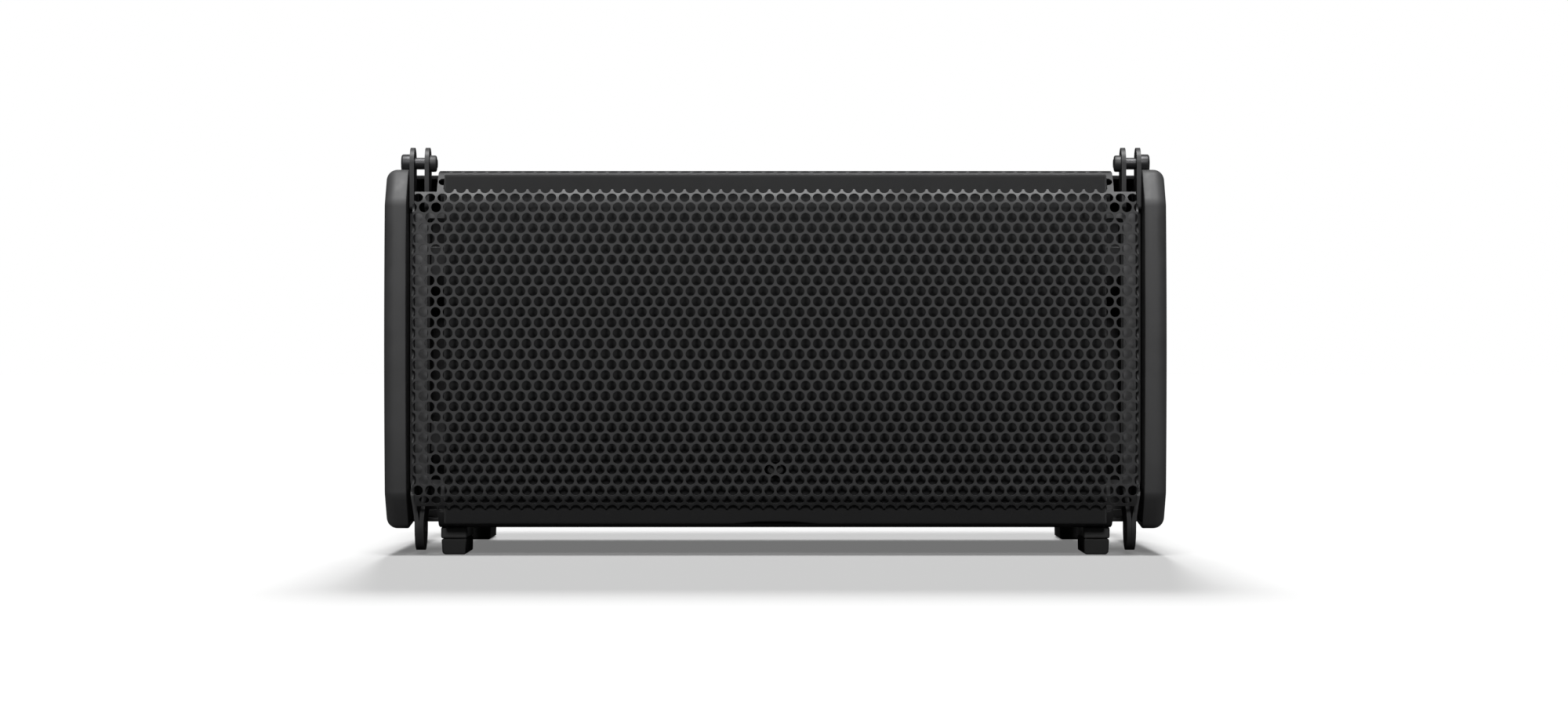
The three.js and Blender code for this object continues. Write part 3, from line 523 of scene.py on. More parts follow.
def latticeSheet(columns, rows, isOpen):
    # six-sided cells on a staggered grid, each a plain hexagon or a hexagon round a circular hole
    form = grilleForm
    pitch, steps = form["pitch"], form["rimSteps"]
    rowPitch = pitch * math.sqrt(3) / 2
    row, column = np.meshgrid(rows, columns, indexing="ij")
    centreV = (row + 0.5) * rowPitch
    centreU = (column + np.where(row % 2 == 0, 0.5, 0.0)) * pitch
    centreU, centreV, row = centreU.ravel(), centreV.ravel(), row.ravel()
    holed = isOpen(centreU, centreV, row)
    cornerAngles = np.radians(30 + 60 * np.arange(6))
    rimAngles = np.radians(30 + 360 / steps * np.arange(steps))
    reach = pitch / math.sqrt(3)
    corners = np.stack([centreU[:, None] + reach * np.cos(cornerAngles),
                        centreV[:, None] + reach * np.sin(cornerAngles)], axis=-1).reshape(-1, 2)
    whole, back = np.unique(np.round(corners * 200).astype(int), axis=0, return_inverse=True)
    corner = back.reshape(-1, 6)
    rimU = centreU[holed][:, None] + form["holeRadius"] * np.cos(rimAngles)
    rimV = centreV[holed][:, None] + form["holeRadius"] * np.sin(rimAngles)
    points = np.concatenate([whole / 200, np.stack([rimU, rimV], axis=-1).reshape(-1, 2)])
    first = len(whole) + steps * np.arange(holed.sum())[:, None]
    perSide = steps // 6
    faces = corner[~holed].tolist()
    for side in range(6):
        rim = [first[:, 0] + (perSide * (side + 1) - k) % steps for k in range(perSide + 1)]
        ends = [corner[holed][:, side], corner[holed][:, (side + 1) % 6]]
        faces += np.stack(ends + rim, axis=-1).tolist()
    flat = bpy.data.meshes.new("lattice")
    flat.from_pydata(np.column_stack([points, np.zeros(len(points))]).tolist(), [], faces)
    sheet = bmesh.new()
    sheet.from_mesh(flat)
    bpy.data.meshes.remove(flat)
    return sheet


def dropFaces(sheet, isOutside):  # removes the faces whose middle is in the part that was cut away
    unwanted = [face for face in sheet.faces if isOutside(*face.calc_center_median().xy)]
    bmesh.ops.delete(sheet, geom=unwanted, context="FACES")


def makeGrille():
    # the distance along the sheet gives depth and height by the section; past its corners the sheet turns back
    form = grilleForm
    section, lengths = grilleSection()
    rowPitch = form["pitch"] * math.sqrt(3) / 2
    total, bend, crest = lengths[-1], lengths[-3], lengths[-2]
    lastRow = int(total / rowPitch) + 2
    cutRow = (form["lastRow"] + 0.5) * rowPitch  # the row of holes that the windows' lower edges run through
    wing, tab = form["wingTop"], form["tabEdge"]
    window, windowTop = form["windowHalfWidth"], form["windowTop"]
    outer = form["halfWidth"] + form["returnLength"]

    def isOpen(u, v, row):
        number = np.where(row >= 0, row, -1 - row)  # rows counted from the middle
        away, last = np.abs(u), form["lastRow"]
        face = (number <= last) & (away < form["holesTo"])
        corner = (row == -last) & (away > form["cornerHolesTo"])  # no hole at the lower corners
        edge = (number >= last) & (away > form["edgeHolesTo"])
        tabs, bent = number == form["tabRow"], number == form["bentRow"]
        return (face | tabs | bent) & ~corner & ~edge

    sheet = latticeSheet(np.arange(-33, 34), np.arange(-lastRow, lastRow), isOpen)
    cuts = [-wing, wing, -cutRow, cutRow, -windowTop, windowTop, -total, total, -bend, bend,
            -crest, crest, -form["returnHalfHeight"], form["returnHalfHeight"]]
    sliceSheet(sheet, 1, cuts)
    straight = form["halfWidth"] - form["cornerRadius"]
    corner = straight + form["cornerRadius"] * np.radians([0, 30, 60, 90])
    sliceSheet(sheet, 0, [s * place for s in (-1, 1) for place in (window, tab, form["halfWidth"], outer, *corner)])

    def isOutside(u, v):
        u, v = abs(u), abs(v)
        inWindow = u < window and cutRow < v < windowTop
        pastWing = u > tab and v > wing
        pastFlange = v > total
        pastReturn = u > outer or (u > straight and v > form["returnHalfHeight"])
        return inWindow or pastWing or pastFlange or pastReturn

    dropFaces(sheet, isOutside)

    def place(u, v, w):
        side, away = np.sign(u), np.abs(u)
        height, depth = np.interp(np.abs(v), lengths, section[:, 1]), np.interp(np.abs(v), lengths, section[:, 0])
        before = np.maximum(np.abs(v) - 0.4, 0)
        after = np.minimum(np.abs(v) + 0.4, total)
        riseH = np.interp(after, lengths, section[:, 1]) - np.interp(before, lengths, section[:, 1])
        riseD = np.interp(after, lengths, section[:, 0]) - np.interp(before, lengths, section[:, 0])
        size = np.hypot(riseH, riseD)
        radius = form["cornerRadius"]
        turn = np.clip((away - straight) / radius, 0, math.pi / 2)
        x = np.minimum(away, straight) + radius * np.sin(turn)
        behind = radius * (1 - np.cos(turn)) + np.maximum(away - straight - radius * math.pi / 2, 0)
        inset = w * form["thickness"]
        x = x - inset * np.sin(turn)
        depth = depth + behind + inset * np.cos(turn) * riseH / size
        height = height - inset * np.cos(turn) * riseD / size
        return toFrame(side * x, depth, np.sign(v) * height)

    return thickSheet("grille_perforated", sheet, place, finishes["grille"], replaces=("grille",), sharp=32)


print("grille:", len(makeGrille().data.vertices), "points")

# The cloth-covered panel behind the grille, and the boss that shows through it.
clothForm = {"halfWidth": 263.3, "halfHeight": 139.0, "front": 14.0, "back": 26.0, "edge": 2.6,
             "archHalf": 37.0, "archFlat": 11.0, "archRise": 1.7, "columns": 121}
studForm = {"height": -95.6, "width": 13.0, "tall": 7.7, "front": 7.0, "back": 35.6, "chamfer": 0.9}


def closedStack(name, rings, finish, **options):  # rings of points joined one after the other, with both ends capped
    rings = np.asarray(rings, float)
    count, size = rings.shape[:2]
    faces = gridFaces(count, size, False, True)
    faces += [list(range(size)), list(range((count - 1) * size, count * size))]
    return outward(addPiece(name, rings, faces, finish, **options))


def makeCloth():
    # a rounded bar carried along x, with its lower edge raised by a smooth step towards the middle
    form = clothForm
    corners = [(form["front"], -form["halfHeight"]), (form["back"], -form["halfHeight"]),
               (form["back"], form["halfHeight"]), (form["front"], form["halfHeight"])]
    profile = filleted(corners, [form["edge"]] * 4, 6)
    ends = form["halfWidth"] - form["edge"] * (1 - np.sin(np.linspace(0, math.pi / 2, 5)))
    columns = np.concatenate([-ends[::-1], np.linspace(-ends[0], ends[0], form["columns"])[1:-1], ends])
    near = np.clip((form["archHalf"] - np.abs(columns)) / (form["archHalf"] - form["archFlat"]), 0, 1)
    rise = form["archRise"] * near * near * (3 - 2 * near)
    away = np.maximum(np.abs(columns) - ends[0], 0) / form["edge"]
    tuck = form["edge"] * (1 - np.sqrt(np.clip(1 - away * away, 0, 1)))
    x = np.broadcast_to(columns[:, None], (len(columns), len(profile)))
    depth = profile[None, :, 0] + tuck[:, None] * (profile[None, :, 0] < form["back"] - form["edge"])
    isLow = profile[None, :, 1] < 0
    height = profile[None, :, 1] + np.where(isLow, rise[:, None], 0)
    cloth = closedStack("cloth_panel", toFrame(x, depth, height), finishes["cloth"], replaces=("grille_cloth_panel",))
    recess = slotLoop(studForm["width"] + 4.5, studForm["tall"] + 3.5, 0, studForm["height"], 16)
    rings = [toFrame(recess[:, 0], depth, recess[:, 1]) for depth in (form["front"] - 2, form["back"] + 2)]
    cutBy(cloth, closedStack("cutter", rings, finishes["cloth"]))
    return cloth


def makeStud():  # an upright slot-shaped boss with a chamfered rim and a shallow dish in its face
    form = studForm
    loop = slotLoop(form["width"], form["tall"], 0, form["height"], 16)
    steps = [(form["back"], 0), (form["front"] + form["chamfer"], 0), (form["front"], form["chamfer"]),
             (form["front"], form["chamfer"] + 0.7), (form["front"] + 0.8, form["chamfer"] + 1.2)]
    loops = [(depth, offsetLoop(loop, inset)) for depth, inset in steps]
    rings = [toFrame(ring[:, 0], depth, ring[:, 1]) for depth, ring in loops]
    return closedStack("stud", rings, finishes["horn"], replaces=("grille_stud",))


makeCloth()
makeStud()
print("cloth panel and stud made")


def screwSet(name, spots, axis, finish, radius, tall):  # a whole group of screws as one piece
    # button heads: rings of growing radius over a dome, round a six-sided hole whose radius follows the hexagon
    steps = 24
    angles = np.linspace(0, 2 * math.pi, steps, endpoint=False)
    hexagon = 0.5 * radius * math.cos(math.pi / 6) / np.cos((angles % (math.pi / 3)) - math.pi / 6)
    rings = [(0.02, 0.25), (None, 0.25), (None, 1.0), (0.62, 0.98), (0.86, 0.75), (0.97, 0.4), (1.0, 0.1), (1.0, 0)]
    radii = np.stack([hexagon if share is None else np.full(steps, share * radius) for share, rise in rings])
    rises = np.array([rise for share, rise in rings])[:, None] * tall + 0 * angles
    across, up = radii * np.cos(angles), radii * np.sin(angles)
    sign = -1 if axis.startswith("-") else 1
    parts = (sign * rises, across, up) if axis[-1] == "x" else (across, sign * rises, up)
    shape = np.stack(parts, axis=-1).reshape(-1, 3)
    spots = np.asarray([toFrame(*spot) for spot in spots])
    faces = np.asarray(gridFaces(len(rings), steps, False, True))
    caps = [list(range(steps)), list(range((len(rings) - 1) * steps, len(rings) * steps))]
    every = []
    for index in range(len(spots)):
        every += (faces + index * len(shape)).tolist() + [[n + index * len(shape) for n in cap] for cap in caps]
    return outward(addPiece(name, spots[:, None] + shape[None], every, finish, sharp=30))


# The moulded cheeks with their hand slots.
cheekForm = {
    "inner": 292.4, "outer": 310.4, "bow": 5.0, "crease": 117.0, "chamferDepth": 24.7, "halfHeight": 143.6,
    "rear": 380.0, "rearCorner": 18.0, "wall": 3.5, "round": 8.7, "innerRound": 1.1,
    "slot": {"depth": 205, "height": 8, "length": 116, "tall": 38, "rim": 3.0},
    "pockets": ((34, 100), (34, -100), (205, 98), (205, -98), (350, 80), (350, -80)), "pocketRadius": 6.0,
    "pocketDepth": 2.8,
}
pinSpots = {"front": (38.0, 148.4), "rear": (345.0, 137.7)}
boreRadius = {"front": 4.9, "rear": 4.2}


def cheekOutline():
    # depth follows the bow up the front, then chamfer, sloping top and cut rear corner, each with a soft turn
    form = cheekForm
    front = [(form["bow"] * (h / form["crease"]) ** 2, h) for h in np.linspace(-100, 100, 17)]
    top = lambda depth: form["halfHeight"] - (depth - form["chamferDepth"]) * cabinetForm["taper"]
    rear, corner = form["rear"], form["rearCorner"]
    upper = [((form["bow"], form["crease"]), 14), ((form["chamferDepth"], form["halfHeight"]), 10.5),
             ((rear - corner, top(rear - corner)), 12), ((rear - corner * 0.3, top(rear) - corner * 0.3), 12),
             ((rear, top(rear) - corner), 12)]
    corners = front + [c for c, r in upper] + [(c[0], -c[1]) for c, r in reversed(upper)]
    radii = [0] * len(front) + [r for c, r in upper] + [r for c, r in reversed(upper)]
    return filleted(corners, radii, 8)[::-1]


def makeCheek(name, side):
    # the outline is carried outwards and shrinks along a quarter circle, then comes back in through the hand slot
    form, slot = cheekForm, cheekForm["slot"]
    outline = cheekOutline()
    turn = np.linspace(0, math.pi / 2, 9)
    straight, small = form["outer"] - form["round"], form["innerRound"]
    places = [form["inner"] + small * (1 - math.sin(t)) for t in (math.pi / 2, math.pi / 4, 0)]
    insets = [small * (1 - math.cos(t)) for t in (math.pi / 2, math.pi / 4, 0)]
    places += [straight - 3, *(straight + form["round"] * np.sin(turn))]
    insets += [0, *(form["round"] * (1 - np.cos(turn)))]
    skin = [np.column_stack([np.full(len(outline), x), offsetLoop(outline, inset)])
            for x, inset in zip(places, insets)]
    rimTurn = np.linspace(0, math.pi / 2, 6)
    hole = slotLoop(slot["length"], slot["tall"], slot["depth"], slot["height"], 20)
    inside = form["outer"] - form["wall"] - 1
    rim = [(form["outer"] - slot["rim"] * (1 - math.cos(t)), slot["rim"] * (1 - math.sin(t))) for t in rimTurn]
    rim.append((inside, 0))
    throat = [np.column_stack([np.full(len(hole), x), offsetLoop(hole, -grow)]) for x, grow in rim]
    cavity = [np.column_stack([np.full(len(outline), x), offsetLoop(outline, form["wall"])])
              for x in (inside, form["inner"])]
    size, ring = len(outline), len(hole)
    faces = gridFaces(len(skin), size, False, True)
    start = len(skin) * size
    faces += (np.asarray(gridFaces(len(throat), ring, False, True)) + start).tolist()
    inner = start + len(throat) * ring
    faces += (np.asarray(gridFaces(2, size, False, True)) + inner).tolist()
    faces += [[inner + size + k, inner + size + (k + 1) % size, (k + 1) % size, k] for k in range(size)]

    def cap(outer, outerStart, hollow, hollowStart):
        loops = [[Vector((*point[1:], 0)) for point in outer], [Vector((*point[1:], 0)) for point in hollow]]
        number = [*range(outerStart, outerStart + len(outer)), *range(hollowStart, hollowStart + len(hollow))]
        return [[number[k] for k in triangle] for triangle in tessellate_polygon(loops)]

    faces += cap(skin[-1], (len(skin) - 1) * size, throat[0], start)
    faces += cap(cavity[0], inner, throat[-1], start + (len(throat) - 1) * ring)
    points = np.concatenate(skin + throat + cavity)
    cheek = outward(addPiece(name, toFrame(side * points[:, 0], points[:, 1], points[:, 2]), faces, finishes["cheek"],
                             replaces=("cheek_cover_" + ("right" if side > 0 else "left"),)))
    notch = [(0.01, 286), (8.7, 286), (8.7, 299), (8.3, 300), (8.3, 315), (0.01, 315)]
    cutters = [latheAcross("cutter", notch, side, pinSpots["front"], finishes["cheek"])]
    radius, outer = form["pocketRadius"], form["outer"]
    floor = outer - form["pocketDepth"]
    pocket = [(0.01, floor), (radius - 0.6, floor), (radius, floor + 0.6), (radius, outer - 0.8),
              (radius + 0.9, outer + 0.1), (radius + 0.9, outer + 3), (0.01, outer + 3)]
    cutters += [latheAcross("cutter", pocket, side, spot, finishes["cheek"], segments=32) for spot in form["pockets"]]
    for cutter in cutters:
        cutBy(cheek, cutter)
    spots = [(side * floor, *spot) for spot in form["pockets"]]
    screwSet(name + "_screws", spots, "x" if side > 0 else "-x", finishes["pin"], 3.9, 2.2)


for label, side in sides:
    makeCheek("cheek_" + label, side)
    softened("cheek_inner_panel_" + label, finishes["liner"], 0.5)
print("cheeks made")

# Front flying plates, face plates, collars and release pins.
plateForm = {
    "thickness": 3.5, "earRadius": 12.75, "tongueRadius": 19.0, "tongueHeight": -141.8,
    "outer": (288.4, 283.75), "inner": (276.4, 280.1),  # inner faces at the ear and at the tongue
    "bend": (-137.5, -104.5), "step": 32.0, "collar": (271.2, 6.65),
}


def frontPlateLoops():
    # corners rounded by their own radii: a round ear above and a round tongue below
    form = plateForm
    depth, height = pinSpots["front"]
    ear, tongue, low = form["earRadius"], form["tongueRadius"], form["tongueHeight"]
    corners = [(depth - ear, height + ear), (depth + ear, height + ear), (depth + ear, 112), (depth + tongue, 104),
               (depth + tongue, low - tongue), (depth - tongue, low - tongue), (depth - tongue, -114),
               (form["step"], -110.6), (form["step"], 110.6), (depth - ear, 111.2)]
    radii = [ear - 0.05, ear - 0.05, 4, 4, tongue - 0.05, tongue - 0.05, 4, 3, 3, 3]
    return [filleted(corners, radii, 14), circleLoop(boreRadius["front"], depth, height, 36),
            circleLoop(boreRadius["front"], depth, low, 36)]


def makeFrontPlate(name, side, faces, node):
    # x goes from the ear's face to the tongue's along a smooth step of the height
    form = plateForm
    sheet = flatSheet(frontPlateLoops())
    low, high = form["bend"]
    sliceSheet(sheet, 1, np.linspace(low, high, 13))

    def place(u, v, w):
        share = np.clip((high - v) / (high - low), 0, 1)
        share = 0.75 * share + 0.25 * share * share * (3 - 2 * share)
        x = faces[0] + (faces[1] - faces[0]) * share
        return toFrame(side * (x + w * form["thickness"]), u, v)

    plate = outward(thickSheet(name, sheet, place, finishes["hardware"], replaces=(node,), sharp=40))
    return softEdges(plate, 0.45, 3, 50)


def makeCollar(name, side, place):  # a short tube with a rounded rim, welded round the bore
    start, radius = plateForm["collar"]
    end, bore = plateForm["inner"][0] + 0.2, boreRadius[place]
    profile = [(bore, start), (radius - 1.2, start), (radius - 0.35, start + 0.35), (radius, start + 1.2),
               (radius, end), (bore, end)]
    return latheAcross(name, profile, side, pinSpots[place], finishes["hardware"])


facePlateForm = {"strip": (277.8, 288.2), "top": 109.0, "arm": 104.4, "edge": (263.2, 267.2), "edgeTop": 124.0,
                 "front": 28.0, "thickness": 3.0}


def makeFacePlate(name, side, node):  # an upright strip with an arm at each end that turns up beside the cabinet
    form = facePlateForm
    corners, radii = [], []
    for end in (1, -1):
        half = [((form["strip"][0], end * form["arm"]), 2.5), ((form["edge"][0], end * form["arm"]), 0.6),
                ((form["edge"][0], end * form["edgeTop"]), 0.8), ((form["edge"][1], end * form["edgeTop"]), 0.8),
                ((form["edge"][1], end * form["top"]), 2.0), ((form["strip"][1], end * form["top"]), 2.5)]
        half = half if end > 0 else half[::-1]
        corners += [corner for corner, radius in half]
        radii += [radius for corner, radius in half]
    place = lambda u, v, w: toFrame(side * u, form["front"] + w * form["thickness"], v)
    plate = thickSheet(name, flatSheet([filleted(corners, radii, 6)]), place, finishes["facePlate"],
                       replaces=(node,))
    return softEdges(outward(plate), 0.4, 2, 50)


pinForm = {"tip": 270.6, "shoulder": 291.95, "headRadius": 7.45, "headLength": 7.4, "turn": 1.7, "play": 0.2}


def makePin(label, side, place):
    # a turned pin: chamfered tip, ball groove, shaft, then a head with a rounded rim and a push button in its end
    form = pinForm
    radius = boreRadius[place] - form["play"]
    end, rim, tip = form["shoulder"] + form["headLength"], form["headRadius"], form["tip"]
    turn = np.linspace(0, math.pi / 2, 6)
    head = [(rim - form["turn"] * (1 - math.cos(t)), end - form["turn"] * (1 - math.sin(t))) for t in turn]
    profile = [(0.02, tip), (radius - 1.5, tip), (radius - 0.5, tip + 0.5), (radius, tip + 1.6), (radius, tip + 3.2),
               (radius - 0.3, tip + 3.5), (radius - 0.3, tip + 4.3), (radius, tip + 4.6), (radius, form["shoulder"]),
               (rim - 0.3, form["shoulder"]), (rim, form["shoulder"] + 0.3), *head,
               (4.3, end), (4.0, end - 0.3), (3.9, end - 1.1), (3.2, end - 1.1), (3.1, end - 0.5), (2.7, end - 0.2),
               (0.02, end - 0.15)]
    body = f"{place}_pin_{label}"
    return latheAcross(f"{place}_release_pin_{label}", profile, side, pinSpots[place], finishes["pin"],
                       body=body, replaces=(body,))


for label, side in sides:
    plates = (("outer", plateForm["outer"]), ("inner", plateForm["inner"]))
    for layer, faces in plates:
        makeFrontPlate(f"front_{layer}_plate_{label}", side, faces, f"front_plate_{layer}_{label}")
    makeCollar("front_collar_" + label, side, "front")
    for place, height in (("upper", 70), ("lower", -70)):
        block(f"front_stand_off_{place}_{label}", (side * 262.3, side * 276.4), (40, 56), (height - 12, height + 12),
              finishes["hardware"], 0.8)
    makeFacePlate("face_plate_" + label, side, "rigging_face_plate_" + label)
    for place in pinSpots:
        makePin(label, side, place)
    softened("side_bracket_" + label, finishes["hardware"], 0.8)
print("front flying hardware made")

# Rear brackets, angle bars and their pivot bolts.
rearForm = {"web": (318.0, 321.5, -98.0, 112.0), "flange": (262.3, 265.8, 346.0), "plate": 3.5, "radius": 12.75,
            "pivot": (345.0, -90.0)}
linkForm = {"x": (281.2, 287.2), "radius": 10.0, "lean": 11.5, "holes": (20, 30.6, 41.3, 51.9, 62.5)}


def makeRearBracket(label, side):  # two upright plates, a web across their front edges and a flange on the cabinet
    form = rearForm
    depth, height = pinSpots["rear"]
    front, back, low, high = form["web"]
    radius, (pivotDepth, pivotHeight) = form["radius"], form["pivot"]
    corners = [(front, height - 25), (depth - radius, height - 2), (depth - radius, height + radius),
               (depth + radius, height + radius), (depth + radius, pivotHeight - radius),
               (pivotDepth - radius, pivotHeight - radius), (pivotDepth - radius - 2, pivotHeight - 2),
               (front, pivotHeight + 6)]
    radii = [5, 5, radius - 0.05, radius - 0.05, radius - 0.05, radius - 0.1, 3, 5]
    loops = [filleted(corners, radii, 14), circleLoop(boreRadius["rear"], depth, height, 36),
             circleLoop(boreRadius["rear"], pivotDepth, pivotHeight, 36)]
    node = "rear_bracket_" + label
    for layer, x in (("outer", plateForm["outer"][0]), ("inner", plateForm["inner"][0])):
        place = lambda u, v, w, x=x: toFrame(side * (x + w * form["plate"]), u, v)
        plate = thickSheet(f"rear_{layer}_plate_{label}", flatSheet(loops), place, finishes["hardware"],
                           replaces=(node,), sharp=40)
        softEdges(outward(plate), 0.45, 3, 50)
    inner, outer, reach = form["flange"]
    edge = plateForm["outer"][0] + form["plate"]
    block("rear_web_" + label, (side * inner, side * (edge - 0.4)), (front + 0.02, back), (low, high),
          finishes["hardware"], 0.6)
    block("rear_flange_" + label, (side * inner, side * outer), (front + 0.5, reach), (low + 8, high - 8),
          finishes["hardware"], 0.6)
    makeCollar("rear_collar_" + label, side, "rear")
    spots = [(side * outer, 334, h) for h in (low + 24, 0, high - 24)]
    screwSet("rear_flange_screws_" + label, spots, "x" if side > 0 else "-x", finishes["pin"], 4.5, 2.6)


def makeRearLink(label, side):  # a bar with round ends about the pivot and the last hole, leaning forwards
    form = linkForm
    lean, (depth, height) = math.radians(form["lean"]), rearForm["pivot"]
    reach = form["holes"][-1]
    across = arc(0, reach, form["radius"], 0, 180, 22)
    below = arc(0, 0, form["radius"], 180, 360, 22)
    bores = [circleLoop(boreRadius["rear"], 0, hole, 32) for hole in (0, *form["holes"])]
    loops = [np.concatenate([across, below])] + bores
    turned = [np.column_stack([depth + loop[:, 0] * math.cos(lean) - loop[:, 1] * math.sin(lean),
                               height + loop[:, 0] * math.sin(lean) + loop[:, 1] * math.cos(lean)]) for loop in loops]
    low, high = form["x"]
    place = lambda u, v, w: toFrame(side * (low + w * (high - low)), u, v)
    bar = thickSheet("angle_bar_" + label, flatSheet(turned), place, finishes["hardware"], sharp=40,
                     body="rear_link_" + label, replaces=("rear_link_" + label,))
    return softEdges(outward(bar), 0.5, 3, 50)


def makePivotBolt(label, side):  # a turned bolt with a chamfered round head inside and a riveted end outside
    start, end = plateForm["inner"][0] - 5, plateForm["outer"][0] + rearForm["plate"]
    profile = [(0.02, start), (5.4, start), (6.5, start + 1.1), (6.5, start + 4.7), (4.0, start + 4.7),
               (4.0, end - 0.4), (4.0, end), (3.1, end + 0.1), (0.02, end + 0.1)]
    return latheAcross("pivot_bolt_" + label, profile, side, rearForm["pivot"], finishes["pin"],
                       replaces=("rear_pivot_bolt_" + label,))


for label, side in sides:
    makeRearBracket(label, side)
    makeRearLink(label, side)
    makePivotBolt(label, side)
print("rear flying hardware made")

# Cabinet boards, feet, and the rear panel with its input plate.
for node in ("top_panel", "bottom_panel", "side_panel_left", "side_panel_right", "rear_panel", "baffle"):
    softened(node, finishes["paint"], 1.2, segments=3)
for label, side in sides:
    for end in ("front", "rear"):
        softened(f"foot_base_{end}_{label}", finishes["foot"], 1.6, segments=3)
        softened(f"foot_pad_{end}_{label}", finishes["rubber"], 1.8, segments=4)

inputForm = {"halfWidth": 80.0, "low": -40.0, "high": 54.0, "front": 368.3, "back": 370.8, "corner": 6.0,
             "socketX": 30.0, "socketHeight": 7.0, "socketHole": 12.9}


def makeInputPlate():  # a rounded rectangle with a round hole for each socket
    form = inputForm
    corners = [(-form["halfWidth"], form["low"]), (form["halfWidth"], form["low"]),
               (form["halfWidth"], form["high"]), (-form["halfWidth"], form["high"])]
    loops = [filleted(corners, [form["corner"]] * 4, 9)]
    loops += [circleLoop(form["socketHole"], side * form["socketX"], form["socketHeight"], 48) for side in (-1, 1)]
    place = lambda u, v, w: toFrame(u, form["front"] + w * (form["back"] - form["front"]), v)
    plate = thickSheet("rear_input_plate", flatSheet(loops), place, finishes["hardware"], replaces=("input_plate",))
    softEdges(outward(plate), 0.5, 3, 50)
    x, low, high = form["halfWidth"] - 8, form["low"] + 8, form["high"] - 8
    spots = [(s * x, form["back"], v) for s in (-1, 1) for v in (low, (low + high) / 2, high)]
    spots += [(0, form["back"], low), (0, form["back"], high)]
    screwSet("input_plate_screws", spots, "y", finishes["pin"], 3.2, 1.8)
    diagonal = 11.5
    spots = [(s * form["socketX"] + a * diagonal, form["back"] + 3.3, form["socketHeight"] + a * b * diagonal)
             for s in (-1, 1) for a, b in ((1, 1), (-1, 1))]
    screwSet("socket_screws", spots, "y", finishes["pin"], 1.6, 0.9)


def makeSocket(label, side):
    # a round flange and collar about a well, with the centre post standing in it
    form = inputForm
    face = form["back"] + 0.3
    profile = [(0.02, 342), (12.6, 342), (12.6, face), (15.2, face), (15.5, face + 0.3), (15.5, face + 2.5),
               (15.1, face + 3), (12.4, face + 3), (12.0, face + 2.4), (11.4, face + 2.4), (11.0, face + 3),
               (10.9, face + 2.8), (10.6, face + 2.2), (10.6, face - 15), (4.5, face - 15), (4.5, face - 1.8),
               (3.9, face - 1.1), (2.2, face - 1.0), (1.9, face - 3), (0.02, face - 3)]
    lathe("speaker_socket_shell_" + label, profile, side * form["socketX"], 0, form["socketHeight"], "depth",
          finishes["socket"], replaces=("speaker_socket_" + label,))
    for index, angle in enumerate((0, 90, 180, 270)):
        across = math.cos(math.radians(angle)) * 9.9
        up = math.sin(math.radians(angle)) * 9.9
        wide, tall = (0.6, 1.6) if angle % 180 == 0 else (1.6, 0.6)
        centre = side * form["socketX"] + across, form["socketHeight"] + up
        block(f"socket_key_{label}_{index}", (centre[0] - wide, centre[0] + wide), (face - 13, face + 1),
              (centre[1] - tall, centre[1] + tall), finishes["socket"], 0.25)


makeInputPlate()
for label, side in sides:
    makeSocket(label, side)
panelSpots = [(s * x, 368, t * 82) for x in (40, 130, 220) for s in (-1, 1) for t in (-1, 1)]
panelSpots += [(s * 245, 368, t) for s in (-1, 1) for t in (-50, 50)]
screwSet("rear_panel_screws", panelSpots, "y", finishes["pin"], 3.6, 2.0)
print("cabinet, feet and rear panel made")

# Woofers, ports and the high-frequency section, all hidden behind the cloth.
wooferForm = {"x": 144.0, "coneRadius": 76.0, "coilRadius": 19.6, "coneDepth": 43.4, "coneSlope": 0.739,
              "coneBend": 0.00104, "coneWall": (2.8, 1.6), "coilEnd": 106.0}  # walls at the coil and at the rim


def makeSurround(label, side):  # a half-roll whose inner leg follows the cone and whose outer leg stays on the rim
    inner, outer = wooferForm["coneRadius"] + 0.3, 87.6
    turn = np.linspace(math.pi, 0, 13)
    middle, half = (inner + outer) / 2, (outer - inner) / 2
    roll = [(middle + half * math.cos(t), 40.6 - 5.6 * math.sin(t)) for t in turn]
    under = [(middle + (half - 1) * math.cos(t), 41.2 - 4.9 * math.sin(t)) for t in turn[::-1]]
    profile = [(inner, 45), (inner, 43.4), *roll, (outer, 41.4), *under, (inner + 1, 45)]
    surround = latheWoofer("roll_surround_" + label, profile, side, finishes["surround"],
                           segments=64, body=None, replaces=("woofer_surround_" + label,))
    return blendTo(surround, side, 44.5, 38.5)


def blendTo(piece, side, movingDepth, fixedDepth):  # bakes the piece's placement into its points; the points at the two depths are worked out but not used
    start, end = (toFrame(side * wooferForm["x"], depth, 0) * mm for depth in (movingDepth, fixedDepth))
    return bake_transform(piece)


def makeSpider(label, side):  # a corrugated dish: depth grows with the radius and waves as it goes
    radii = np.linspace(wooferForm["coilRadius"] + 0.4, 43, 33)
    share = (radii - radii[0]) / (radii[-1] - radii[0])
    wave = 86.5 + 4.2 * share + 0.9 * np.sin(share * 2 * math.pi * 5) * np.sin(share * math.pi)
    profile = [*zip(radii, wave), *zip(radii[::-1], wave[::-1] + 0.6)]
    spider = latheWoofer("corrugated_spider_" + label, profile, side, finishes["spider"],
                         segments=64, body=None, replaces=("woofer_spider_" + label,))
    return blendTo(spider, side, 86.6, 90.6)


